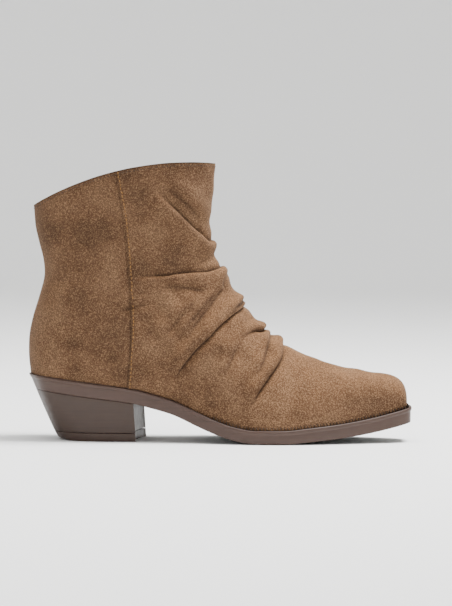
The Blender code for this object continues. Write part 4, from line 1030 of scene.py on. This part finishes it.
# %% Place upper and lining
# Painted shade of folds, seams and foot, with the collar's dark line, for both faces of the sheet
crease = np.tile(np.maximum(shade, 0.8 * seam), 2)
upper = make_piece("suede_upper", skin, skin_faces, [suede, suede_edge], sharp=70,
                   which=which, values={"crease": crease})
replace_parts(upper, "upper")
inside = make_piece("lining", lining_points, lining_faces, lining, sharp=70)
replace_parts(inside, "upper")
print("upper's box, mm:", (skin.min(0) / MM).round(1), (skin.max(0) / MM).round(1))

# %% [markdown]
# ## Sole
#
# The sole is one moulding of rubber compound, printed to look like stacked leather. A lip runs along
# the top of its side. It is drawn as closed loops round the outline: every loop has its own inset
# and height, and the faces join each loop to the next. The underside closes along the middle.


# %% Loops round the sole
HEEL_SLANT, HEEL_TAPER = 0.44, 0.09
BREAST_OUTER, BREAST_INNER, BREAST_HOLLOW = 0.274, 0.296, 0.0022
RIM_HEIGHT, RIM_STEP = 0.0022, 0.0006
TIP_HEIGHT, TIP_SPUR = 0.0058, 0.0045


def lean(x, y, depth):
    """Below the sole's top the heel's back leans forward and its sides draw together."""
    front = BREAST_OUTER * LENGTH - HALF
    behind = np.clip((front - x) / (front + HALF), 0, 1)
    narrow = HEEL_TAPER * smooth(1 + (front - x) / (0.05 * LENGTH)) * depth / (0.31 * BALL_WIDTH)
    return x + HEEL_SLANT * behind * depth, y * (1 - narrow)


def rim_loop(inset, height, narrow=1.0):
    """Loop round the sole from the toe down the inner side and back up the outer side, drawn
    together towards its middle line by a factor."""
    shares = (1 - np.cos(np.linspace(0, np.pi, 230))) / 2
    sides = {}
    for side in (INNER, OUTER):
        x, y = rim(side, shares, inset)
        x, y = lean(x, y, np.maximum(sole_top(x) - height(x), 0))
        sides[side] = np.stack([x, y, height(x)], 1)
    middle = (sides[INNER] + sides[OUTER]) / 2
    for side in sides:
        sides[side] = middle + (sides[side] - middle) * narrow
        sides[side][:, 2] = height(sides[side][:, 0]) if narrow < 1 else sides[side][:, 2]
    return np.vstack([sides[INNER], sides[OUTER][-2:0:-1]])


def lofted(loops):
    """Points and faces of a stack of loops, which faces out when the loops climb anticlockwise."""
    return np.vstack(loops), grid_faces(len(loops), len(loops[0]), wrap=True)[:, ::-1]


def rounded(inset, low, high, radius, steps=4):
    """Insets and heights of a wall with rounded bottom and top edges, as functions of x."""
    turn = np.linspace(0, np.pi / 2, steps + 1)
    bottom = [(inset + radius * (1 - np.sin(t)), low, radius * (1 - np.cos(t))) for t in turn]
    top = [(inset + radius * (1 - np.sin(t)), high, -radius * (1 - np.cos(t))) for t in turn[::-1]]
    return [(i, lambda x, f=f, up=up: f(x) + up) for i, f, up in bottom + top]


print("points in a loop:", len(rim_loop(0.0, sole_top)))


# %% Outsole
def lip_low(x):
    """Lower edge of the lip along the top of the sole's side."""
    return sole_top(x) - RIM_HEIGHT


flat = [rim_loop(RIM_STEP + 2 * MM, underside, narrow) for narrow in (0.0, 0.35, 0.7, 0.9)]
wall = [rim_loop(*level) for level in rounded(RIM_STEP, underside, lip_low, 0.6 * MM)[:6]]
# The wall flares out to the lip over 1.4 mm, which starts 0.9 mm below the lip's lower edge
flare = [rim_loop(RIM_STEP * (1 - smooth(t)), lambda x, t=t: lip_low(x) + (1.4 * t - 0.9) * MM)
         for t in np.linspace(0, 1, 7)]
lip = flare + [rim_loop(*level) for level in rounded(0.0, lip_low, sole_top, 0.7 * MM)[5:]]
roof = [rim_loop(2 * MM, sole_top, narrow) for narrow in (0.9, 0.6, 0.0)]
outsole = lofted(flat + wall + lip + roof)
print("outsole's box, mm:", (outsole[0].min(0) / MM).round(1), (outsole[0].max(0) / MM).round(1))

# %% [markdown]
# ## Heel
#
# The heel is a block that leans forward at the back and has a hollowed front, called its breast. Under
# it sits a top piece that can be replaced when it wears. A hairline parts the two, and the top
# piece's back corner is worn off a little. Both are loops of the same kind, stacked from below.


# %% Loops round the heel
def heel_loop(inset, height, narrow=1.0):
    """Loop round the heel: from the middle of its front down the inner side, round the back and up
    the outer side. The front is hollowed, and its two corners are rounded."""
    fronts = {INNER: BREAST_INNER * LENGTH - HALF, OUTER: BREAST_OUTER * LENGTH - HALF}
    steps, sides = np.linspace(0, 1, 80), {}
    for side, front in fronts.items():
        start = np.interp(-front, -HALVES[side][1][:, 0], HALVES[side][0])
        shares = start + (1 - start) * np.sin(steps * np.pi / 2)
        x, y = rim(side, shares, inset)
        depth = sole_top(x) - height(x)
        x, y = lean(x, y, depth)
        sides[side] = np.stack([x + 0.07 * depth * (1 - steps) ** 2, y, height(x)], 1)
    share = np.linspace(1, 0, 26)[1:-1, None]
    breast = sides[OUTER][:1] + (sides[INNER][:1] - sides[OUTER][:1]) * share
    breast[:, 0] -= (BREAST_HOLLOW * 4 * share * (1 - share))[:, 0] + inset
    loop = np.vstack([breast[12::-1], sides[INNER], sides[OUTER][-2::-1], breast[:12:-1]])
    loop[:, 2] = height(loop[:, 0])
    middle = loop[:, :2].mean(0)
    loop[:, :2] = middle + (loop[:, :2] - middle) * narrow
    return loop


print("points in a heel loop:", len(heel_loop(RIM_STEP, sole_top)))


# %% Heel block
def block_bottom(x):
    """The groove between the heel and its top piece ends here."""
    return TIP_HEIGHT + GAP + 0 * x


def block_top(x):
    """The heel is pressed against the sole, which leaves a hairline."""
    return underside(x) - 0.1 * MM


levels = rounded(RIM_STEP, block_bottom, block_top, 0.3 * MM)
sides_up = [(RIM_STEP, lambda x, t=t: block_bottom(x) + (block_top(x) - block_bottom(x)) * t)
            for t in (0.1, 0.3, 0.5, 0.7, 0.9)]
levels = levels[:5] + sides_up + levels[5:]
block = [heel_loop(RIM_STEP + 1.5 * MM, block_bottom, 0.0)] + [heel_loop(*level) for level in levels]
block += [heel_loop(RIM_STEP + 1.5 * MM, block_top, narrow) for narrow in (0.8, 0.4, 0.0)]
heel_block = lofted(block)
print("heel's box, mm:", (heel_block[0].min(0) / MM).round(1), (heel_block[0].max(0) / MM).round(1))


# %% Top piece
def floor_level(x):
    """The top piece stands on the floor."""
    return 0 * x


def tip_level(x):
    """The top piece's upper face."""
    return TIP_HEIGHT + 0 * x


WORN = 0.42  # rise of the worn back corner, as a share of TIP_SPUR
tip = [heel_loop(*level) for level in rounded(RIM_STEP, floor_level, tip_level, 0.4 * MM)]
back = min(loop[:, 0].min() for loop in tip)
for loop in tip[:5]:
    spur = np.clip(1 - (loop[:, 0] - back) / (3 * TIP_SPUR), 0, 1)
    loop[:, 2] += WORN * TIP_SPUR * spur * (loop[:, 2] < 0.5 * TIP_HEIGHT)
tip = [heel_loop(RIM_STEP + TIP_SPUR, floor_level, narrow) for narrow in (0.0, 0.9)] + tip
tip += [heel_loop(RIM_STEP + 1.5 * MM, tip_level, 0.0)]
heel_tip = lofted(tip)
print("top piece's height, mm:", round(float(np.ptp(heel_tip[0][:, 2]) / MM), 1))

# %% [markdown]
# Sole and heel are rubber compounds, moulded with the fine level lines of stacked leather. They are
# waxed and buffed, which gives a dull gloss that changes over a few millimetres.


# %% Moulded rubber finishes
def stacked_finish(name, dark, light, layers):
    """Rubber compound moulded with the fine level lines of stacked leather, then waxed and buffed."""
    made, tree, shader = finish(name, light, 0.48, Specular_IOR_Level=0.35)
    streaks = grains(tree, layers, 3.0, 0.6, (0.045, 0.045, 1.0))
    tone = ramp(tree, streaks, [(0.25, dark), (0.60, light)])
    tone = mix(tree, ranged(tree, grains(tree, 14, 3.0), 0.42, 0.7, 0.0, 0.30), tone, dark)
    tree.links.new(tone, shader.inputs["Base Color"])
    tree.links.new(ranged(tree, grains(tree, 4.0), 0.3, 0.7, 0.42, 0.56), shader.inputs["Roughness"])
    relief(tree, shader, streaks, 0.05, 0.4)
    return made


sole_rubber = stacked_finish("waxed_sole_compound", "38271f", "412e25", 1.3)
heel_rubber = stacked_finish("waxed_heel_compound", "30221b", "38281f", 1.0)
tip_rubber = stacked_finish("heel_top_rubber", "31211a", "39281f", 2.2)
for name, (where, mesh_faces), look, node, slot in (
    ("moulded_sole", outsole, sole_rubber, "outsole", "sole_rubber"),
    ("stacked_heel", heel_block, heel_rubber, "heel_block", "heel_rubber"),
    ("heel_top_piece_worn", heel_tip, tip_rubber, "heel_top_piece", "heel_rubber"),
):
    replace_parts(make_piece(name, where, mesh_faces, look, sharp=35), node)

# %% [markdown]
# ## Zip
#
# Two woven tapes are sewn behind the slot. Along their inner edges sit the teeth: small cast
# elements, each with a head that hooks between two of the other side. Below the slider the rows are
# shut; above it they part. One tooth is drawn as rings round its length, and the same tooth is then
# set at every pitch of both rows in one array.

# %% Zip helpers
TAPE_HALF, TAPE_THICK = 0.0090, 0.0006
TEETH_THICK, TEETH_PART, SLIDER_DOWN = 0.0015, 0.0037, 0.0085
SHAFT_ROUND = 0.128
TOOTH_PITCH = 0.0021


def parted(shares, length):
    """Half the gap between the two rows: shut below the slider, open above it."""
    above = (shares - 1) * length + SLIDER_DOWN + 0.0010
    return GAP / 2 + (TEETH_PART - GAP / 2) * np.clip(above / (SLIDER_DOWN + 0.0010), 0, 1) ** 1.15


def on_zip(shares, across, depth):
    """Points at a distance across the zip and a depth below the upper's face, bent with its round."""
    centre, _, front, out, _ = zip_frames(shares)
    across, depth = np.broadcast_arrays(across, depth)
    return (centre[:, None] + front[:, None] * across[..., None]
            - out[:, None] * (depth + across**2 / (2 * SHAFT_ROUND))[..., None])


def repeated(faces, count, points_each):
    """The faces of one small shape, numbered on for every copy of it."""
    return (faces[None] + np.arange(count)[:, None, None] * points_each).reshape(-1, 4)


print("gap of the open rows at the collar, mm:", round(float(2 * parted(1.0, ZIP[4]) / MM), 1))

# %% [markdown]
# The tape is a plain weave of polyester. Each tape is a thin closed strip. It carries two measures,
# along it and across it, so that its weave follows the zip instead of the boot's axes.


# %% Woven tape
tape, tape_tree, tape_shader = finish("woven_polyester_tape", "38231e", 0.85, Specular_IOR_Level=0.25,
                                      Sheen_Weight=0.1)


def woven(tree, shader, pitch, dark, light):
    """Plain weave: sines along and across the piece, read from its own two measures in metres."""
    waves = []
    for name, turn in (("along", 0.0), ("across", 1.6)):
        measure = add(tree, "Attribute", {"attribute_name": name}).outputs["Fac"]
        wave = add(tree, "Math", {"operation": "MULTIPLY_ADD"}, n0=measure,
                   n1=2 * math.pi / pitch, n2=turn)
        waves.append(add(tree, "Math", {"operation": "SINE"}, n0=wave.outputs[0]).outputs[0])
    height = add(tree, "Math", {"operation": "MULTIPLY"}, n0=waves[0], n1=waves[1]).outputs[0]
    tone = mix(tree, ranged(tree, height, -1, 1), dark, light)
    tone = mix(tree, ranged(tree, grains(tree, 6), 0.4, 0.7, 0.0, 0.3), tone, dark)
    tree.links.new(tone, shader.inputs["Base Color"])
    relief(tree, shader, height, 0.10, 0.8)


WEAVE_PITCH = 0.9 * MM  # two threads
woven(tape_tree, tape_shader, WEAVE_PITCH, "2b1a16", "452d26")
print("threads to a centimetre:", round(2 * 10 * MM / WEAVE_PITCH))

# %% Tapes
TAPE_STEPS = 9  # points across each face of a tape
length = ZIP[4]
shares = np.linspace(0.006, 0.995, 320)
for sign, name in ((1, "front"), (-1, "back")):
    far = np.linspace(0, 1, TAPE_STEPS)
    across = sign * (parted(shares, length)[:, None] * (1 - far) + TAPE_HALF * far)
    deep = WALL + GAP
    top, under = on_zip(shares, across, deep), on_zip(shares, across[:, ::-1], deep + TAPE_THICK)
    ring = np.concatenate([top, under], 1)
    around = 2 * TAPE_STEPS
    ring_faces = grid_faces(len(shares), around, wrap=True)
    ends = np.array([[k, k + 1, around - 2 - k, around - 1 - k] for k in range(TAPE_STEPS - 1)])
    ends = np.vstack([ends[:, ::-1], ends + (len(shares) - 1) * around])
    mesh_faces = np.vstack([ring_faces, ends])[:, ::-sign]
    measures = {"along": np.repeat(shares * length, around),
                "across": np.concatenate([across, across[:, ::-1]], 1).ravel()}
    piece = make_piece("tape_" + name, ring.reshape(-1, 3), mesh_faces, tape,
                       values=measures)
    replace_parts(piece, "zip_tape_" + name)
print("tape length, mm:", round(length / MM, 1))

# %% [markdown]
# A tooth clamps round the tape's edge with two legs and hooks into the gap between two teeth of the
# other row with its head. It is a closed stack of nine rings of eight points, which is enough at a
# pitch of 2.1 mm.

# %% One tooth and its plating
# From its head to its foot: place across, half its length along the zip, half its height
TOOTH = np.array([(-0.75, 0.10, 0.10), (-0.70, 0.32, 0.35), (-0.35, 0.52, 0.58), (0.05, 0.50, 0.62),
                  (0.45, 0.34, 0.62), (1.00, 0.42, 0.70), (2.10, 0.44, 0.72), (2.55, 0.36, 0.55),
                  (2.65, 0.10, 0.15)]) * MM
# The teeth are cast in brass and plated in a dull old copper, which is rubbed brighter in spots
copper, tree, shader = two_tone("antique_copper_plating", "7d665f", 0.33, 2.5, "655049", "957c74",
                                Metallic=1.0)
tree.links.new(ranged(tree, grains(tree, 1.2), 0.3, 0.7, 0.26, 0.46), shader.inputs["Roughness"])
print("a tooth's length, mm:", round(float(np.ptp(TOOTH[:, 0]) / MM), 2))

# %% Two rows of teeth
turn = np.linspace(0, 2 * np.pi, 9)[:-1]
box = [np.sign(wave) * np.abs(wave) ** 0.6 for wave in (np.cos(turn), np.sin(turn))]
tooth_faces = grid_faces(len(TOOTH), len(turn), wrap=True)
caps = np.array([[0, 1, 2, 3], [0, 3, 4, 7], [4, 5, 6, 7]])
tooth_faces = np.vstack([tooth_faces, caps[:, ::-1], caps + (len(TOOTH) - 1) * len(turn)])
for sign, name in ((1, "front"), (-1, "back")):
    count = int(0.985 * length / TOOTH_PITCH)
    at = 0.012 + (np.arange(count) + (0.5 if sign < 0 else 0.0)) * TOOTH_PITCH / length
    centre, up, front, out, _ = zip_frames(at)
    across = sign * (parted(at, length)[:, None] + TOOTH[None, :, 0])
    depth = WALL - GAP / 2 - TEETH_THICK / 2 + across**2 / (2 * SHAFT_ROUND)
    middle = centre[:, None] + front[:, None] * across[..., None] - out[:, None] * depth[..., None]
    ring = (middle[:, :, None] + up[:, None, None] * (TOOTH[:, 1, None] * box[0])[None, ..., None]
            + out[:, None, None] * (TOOTH[:, 2, None] * box[1])[None, ..., None])
    mesh_faces = repeated(tooth_faces, count, len(TOOTH) * len(turn))[:, ::sign]
    piece = make_piece("teeth_" + name, ring.reshape(-1, 3), mesh_faces, copper,
                       sharp=50)
    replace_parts(piece, "zip_teeth_" + name)
print("teeth a side:", count)

# %% [markdown]
# ## Slider and pull
#
# The slider and its pull are zinc castings, painted to match the tape. Their solids are right as
# packed, so they stay, and a small bevel takes the hard edges off, as tumbling does to a casting.


# %% Slider and pull
painted, tree, shader = two_tone("painted_zinc", "3a241f", 0.46, 3.5, "33201b", "412822",
                                 Specular_IOR_Level=0.3, Coat_Weight=0.10, Coat_Roughness=0.35)
# Paint wears off the corners first, which is where the surface is most pointed
corners = add(tree, "NewGeometry").outputs["Pointiness"]
paint = shader.inputs["Base Color"].links[0].from_socket
tree.links.new(mix(tree, ranged(tree, corners, 0.55, 0.70, 0.0, 0.4), paint, "664a41"),
               shader.inputs["Base Color"])
relief(tree, shader, grains(tree, 0.7, 2.0), 0.03, 0.4)


def refinish(node, look, bevel=0.0):
    """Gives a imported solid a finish, and with a width a rounded edge."""
    for part in [o for o in bpy.data.objects if o.type == "MESH" and o.name == node]:
        for slot in part.material_slots:
            slot.material = look
        if bevel:
            edge = part.modifiers.new("Tumbled edges", "BEVEL")
            edge.width, edge.segments, edge.limit_method = bevel, 3, "ANGLE"
            edge.angle_limit = math.radians(35)
            edge.harden_normals = False
        return part
    raise SystemExit("no packed solid named " + node)


refinish("zip_slider", painted, 0.22 * MM)
refinish("zip_pull", painted, 0.20 * MM)

# %% [markdown]
# ## Tread and insole
#
# The forepart's tread is a thin sheet of dark rubber with a fine moulded texture. The insole is a
# board under a leather sock, which is what shows down inside the shaft.

# %% Tread and insole finishes
tread, tree, shader = two_tone("moulded_tread_rubber", "241f1d", 0.75, 8, "1e1a18", "2f2926",
                               Specular_IOR_Level=0.35)
place = add(tree, "TexCoord").outputs["Object"]
bars = add(tree, "TexWave", {"wave_type": "BANDS", "bands_direction": "X"}, Vector=place, Scale=90.0,
           Distortion=0.0).outputs["Fac"]
relief(tree, shader, bars, 0.35, 0.8)
refinish("forepart_tread", tread)

# The sock is a thin smooth leather, whose grain shows as shallow pores
sock, tree, shader = two_tone("leather_sock", "a58a6f", 0.6, 22, "957a60", "b0957a",
                              Specular_IOR_Level=0.35)
relief(tree, shader, grains(tree, 1.2, 2.0), 0.15, 0.6)
refinish("insole", sock)
print("finishes:", len(bpy.data.materials))

# %% [markdown]
# ## Stitching
#
# Every seam is held by lock stitches. Seen from outside, a stitch is a short piece of thread whose
# two ends dive into the leather. It is drawn once, as rings of six points round a low arc, and set
# along its line in one array. The lines are laid on the finished folds with a nearest-point search,
# so the thread follows every dent.


# %% Nearest places on the suede
suede_tree = BVHTree.FromPolygons(outer_points.tolist(), outer_faces.tolist())


def settled(line):
    """The line's nearest points on the shaped suede, and the normals there, evened along it."""
    hits = [suede_tree.find_nearest(Vector(point)) for point in line.tolist()]
    places, normals = (np.array([tuple(hit[k]) for hit in hits]) for k in (0, 1))
    kernel = np.ones(5) / 5
    wide = np.pad(normals, ((2, 2), (0, 0)), mode="edge")
    normals = np.stack([np.convolve(wide[:, k], kernel, "valid") for k in range(3)], 1)
    return places, unit(normals)


print("faces to search:", len(outer_faces))


# %% A row of stitches
BEAD_RINGS, BEAD_SIDES = 7, 6  # a stitch is a closed bead: so many rings of so many points


def bead_faces(count):
    """Faces of a number of beads: rings joined along, and each end closed by two faces."""
    end = np.array([[0, 1, 2, 3], [0, 3, 4, 5]])
    one = np.vstack([grid_faces(BEAD_RINGS, BEAD_SIDES, wrap=True), end[:, ::-1],
                     end + (BEAD_RINGS - 1) * BEAD_SIDES])
    return repeated(one, count, BEAD_RINGS * BEAD_SIDES)


def bead_measures(thick, blunt):
    """Places along a bead from -1 to 1, its half thickness there, and turns round it."""
    t = np.linspace(-1, 1, BEAD_RINGS)
    girth = thick / 2 * np.clip(1 - np.abs(t) ** 5, blunt, 1)
    return t, girth, np.linspace(0, 2 * np.pi, BEAD_SIDES + 1)[:-1]


def stitch_row(name, line, thread, pitch=2.6, long=1.9, thick=0.55, sunk=0.10):
    """A row of stitches of the given pitch, length and thickness in millimetres. Each is an arc:
    its height falls with the fourth power of the distance from its middle."""
    run = np.linalg.norm(np.diff(line, axis=0), axis=1).sum() / MM
    count = max(2, int(run / pitch))
    at = evenly(line, 8 * count + 1)
    places, normals = settled(at)
    middle = places[4::8]
    ahead, out = unit(places[6::8] - places[2::8]), normals[4::8]
    beside = np.cross(out, ahead)
    t, girth, round_ = bead_measures(thick, 0.15)
    arc = (0.32 * (1 - t**4) - sunk - 0.25 * t**4) * thick
    height = arc[:, None] + girth[:, None] * np.sin(round_)
    rings = (middle[:, None, None] + ahead[:, None, None] * (t * long / 2 * MM)[None, :, None, None]
             + out[:, None, None] * (height * MM)[None, ..., None]
             + beside[:, None, None] * (girth[:, None] * np.cos(round_) * MM)[None, ..., None])
    return make_piece(name, rings.reshape(-1, 3), bead_faces(len(middle)), thread,
                      sharp=80)


print("faces of a stitch:", len(bead_faces(1)))


# %% Threads
def thread_finish(name, dark, light):
    """Spun polyester thread: a slight sheen, and a tone that changes from stitch to stitch."""
    made, tree, shader = two_tone(name, light, 0.7, 3.0, dark, light, Sheen_Weight=0.05,
                                  Specular_IOR_Level=0.25)
    relief(tree, shader, grains(tree, 0.35, 1.0), 0.06, 0.6)
    return made


gold_thread = thread_finish("golden_tan_thread", "76511f", "97692c")
dark_thread = thread_finish("dark_brown_thread", "1b120c", "2b1d13")
# Near black, to paint the shade in the notches where the upper meets the sole
welt_thread = thread_finish("welt_thread_painted_notch_shade", "1c1410", "2a201a")
print("finishes:", len(bpy.data.materials))


# %% Lines beside seams and slot
def beside_line(side, rows, offset, count=200):
    """A seam's line moved towards the toe by an offset in millimetres."""
    line, face = line_on(side, rows, count)
    ahead = unit(np.cross(unit(np.gradient(line, axis=0)), face))
    return line + ahead * np.sign(ahead[:, :1].mean()) * offset * MM


def beside_slot(sign, offset, first=-0.01, last=0.985):
    """A line that runs beside the zip's slot, at an offset in millimetres from its edge."""
    at = np.linspace(first, last, 220)
    centre, _, front, _, _ = zip_frames(at)
    return centre + front * (sign * (slot_half(at) + offset * MM))[:, None]


lap_line = beside_line(OUTER, LAP_SEAM[:-1] + [(-73.4, 187)], 1.5)
print("stitched part of the lapped seam, mm:", round(float(np.ptp(lap_line[:, 2]) / MM)))

# %% Seam and zip stitches
stitch_row("lap_seam_stitches", lap_line, gold_thread, 2.7, 1.9, 0.5)
for sign, name in ((1, "front"), (-1, "back")):
    for row, offset in enumerate((1.6, 3.5)):
        line = beside_slot(sign, offset)
        stitch_row(f"zip_stitches_{name}_{row + 1}", line, gold_thread, 2.5, 1.8, 0.5)
stitch_row("gusset_stitches_back", beside_line(INNER, GUSSET_BACK, -1.5), gold_thread, 2.5, 1.8, 0.45)
for row, offset in enumerate((1.5, 3.4)):
    stitch_row(f"gusset_stitches_front_{row + 1}", beside_line(INNER, GUSSET_FRONT[:-1], offset),
               gold_thread, 2.5, 1.8, 0.45)

# %% Collar stitches
COLLAR_MARGIN, ZIP_CLEAR = 2.2 * MM, 4.5 * MM
# They run a margin under the collar's edge: the place is found on each column of the ten top rows
top_rows = shaped_rows[-10:][::-1]
under_edge = np.linalg.norm(top_rows - top_rows[:1], axis=2)
below = np.array([[np.interp(COLLAR_MARGIN, under_edge[:, k], top_rows[:, k, axis])
                   for axis in range(3)] for k in range(WIDE)])
for name, part in (("outer", below[:WIDE // 2 + 20]), ("inner", below[WIDE // 2 + 19:])):
    keep = slot_gap(part)[0] > ZIP_CLEAR
    pieces = np.split(np.arange(len(part)), np.nonzero(~keep)[0])
    for number, run in enumerate([p for p in pieces if len(p) > 12]):
        stitch_row(f"collar_stitches_{name}_{number + 1}", part[run[1:]], dark_thread, 2.6, 1.8, 0.42)

# %% [markdown]
# Where the upper meets the welt a waxed thread is laced round the forefoot. Each stitch is short and
# stands almost upright, half under the suede. The thread is near black, which paints the shade of
# the line of small notches there.


# %% Welt line
WELT_RISE, WELT_OUT = 1.1 * MM, 0.25 * MM  # above the sole, and out from the upper's foot


def welt_line(side, first, last):
    """Line round the foot of the upper, between two shares of the way from toe to heel."""
    share = np.linspace(first, last, 500)
    x, y = rim(side, share, welt(share) - WELT_OUT)
    return np.stack([x, y, sole_top(x) + WELT_RISE], 1)


print("welt's foot at the toe, mm:", (welt_line(OUTER, 0.0, 0.52)[0] / MM).round(1))


# %% Welt stitches
def notch_row(name, line, pitch=2.3, ahead_by=0.45, rise=1.15):
    """Row of small upright stitches along a line: rings round a short arc that leans ahead and
    rises by the given half lengths in millimetres, and stands out in its middle."""
    run = np.linalg.norm(np.diff(line, axis=0), axis=1).sum() / MM
    middle = evenly(line, int(run / pitch))
    middle, out = settled(middle)
    ahead = unit(np.gradient(middle, axis=0))
    out = unit(out * (1, 1, 0))
    up = np.array([0, 0, 1.0])
    t, girth, round_ = bead_measures(1.16, 0.2)
    spine = (ahead[:, None] * (ahead_by * t)[None, :, None] + up * (rise * t)[None, :, None]
             + out[:, None] * (0.35 + 0.65 * (1 - t**2))[None, :, None]) * MM
    rings = ((middle[:, None] + spine)[:, :, None]
             + out[:, None, None] * (girth[:, None] * np.sin(round_) * MM)[None, ..., None]
             + up * (girth[:, None] * np.cos(round_) * MM)[None, ..., None])
    return make_piece(name, rings.reshape(-1, 3), bead_faces(len(middle)), welt_thread,
                      sharp=80)


notch_row("welt_stitches_outer", welt_line(OUTER, 0.0, 0.52))
notch_row("welt_stitches_inner", welt_line(INNER, 0.0, 0.50))

# %% [markdown]
# ## Cove and lights
#
# A product photograph is lit by large soft sources from above, on pale paper that curves up into a
# wall, so that no horizon shows. The floor here is a round cove, closed all the way round: seen from
# any side, paper stands behind the boot.

# %% Paper cove
FLOOR_RADIUS, COVE_RADIUS, COVE_TOP, SPOKES = 3.0, 1.4, 4.6, 96
bend = np.linspace(0, np.pi / 2, 16)
away = np.concatenate([[0.0, 0.6, 1.4, 2.2], FLOOR_RADIUS + COVE_RADIUS * np.sin(bend),
                       [FLOOR_RADIUS + COVE_RADIUS]])
climb = np.concatenate([np.zeros(4), COVE_RADIUS * (1 - np.cos(bend)), [COVE_TOP]])
spoke = np.linspace(0, 2 * np.pi, SPOKES, endpoint=False)
cove_points = np.stack([away[:, None] * np.cos(spoke), away[:, None] * np.sin(spoke),
                        np.repeat(climb[:, None], SPOKES, 1)], -1).reshape(-1, 3)
paper = finish("pale_paper", "f6f6f5", 0.85, Specular_IOR_Level=0.2)[0]
cove_faces = grid_faces(len(away), SPOKES, wrap=True)[:, ::-1]
cove = make_piece("paper_cove", cove_points, cove_faces, paper, body=None)
print("cove, m:", FLOOR_RADIUS + COVE_RADIUS, "out and", COVE_TOP, "up")


# %% [markdown]
# One softbox above the toe models the folds, and a ceiling of light five metres wide fills the rest
# and lights the paper. The world adds a trace of white, so that no shadow is black.


# %% Soft lights
def softbox(name, place, aim, width, height, watts):
    """White rectangular area light at a place, turned to a point."""
    lamp = bpy.data.lights.new(name, "AREA")
    lamp.shape, lamp.size, lamp.size_y, lamp.energy = "RECTANGLE", width, height, watts
    made = bpy.data.objects.new(name, lamp)
    bpy.context.scene.collection.objects.link(made)
    made.location = place
    made.rotation_euler = (Vector(aim) - Vector(place)).to_track_quat("-Z", "Y").to_euler()


softbox("key", (0.60, 0.05, 1.8), (0, 0, 0.08), 0.6, 0.6, 88)
softbox("ceiling", (0.0, 0.0, 4.4), (0.0, 0.01, 0.0), 5.0, 5.0, 205)
world = bpy.data.worlds.new("studio")
bpy.context.scene.world = world
world.use_nodes = True
world.node_tree.nodes["Background"].inputs[0].default_value = colour("ffffff")
world.node_tree.nodes["Background"].inputs[1].default_value = 0.08
print("lights:", len(bpy.data.lights))
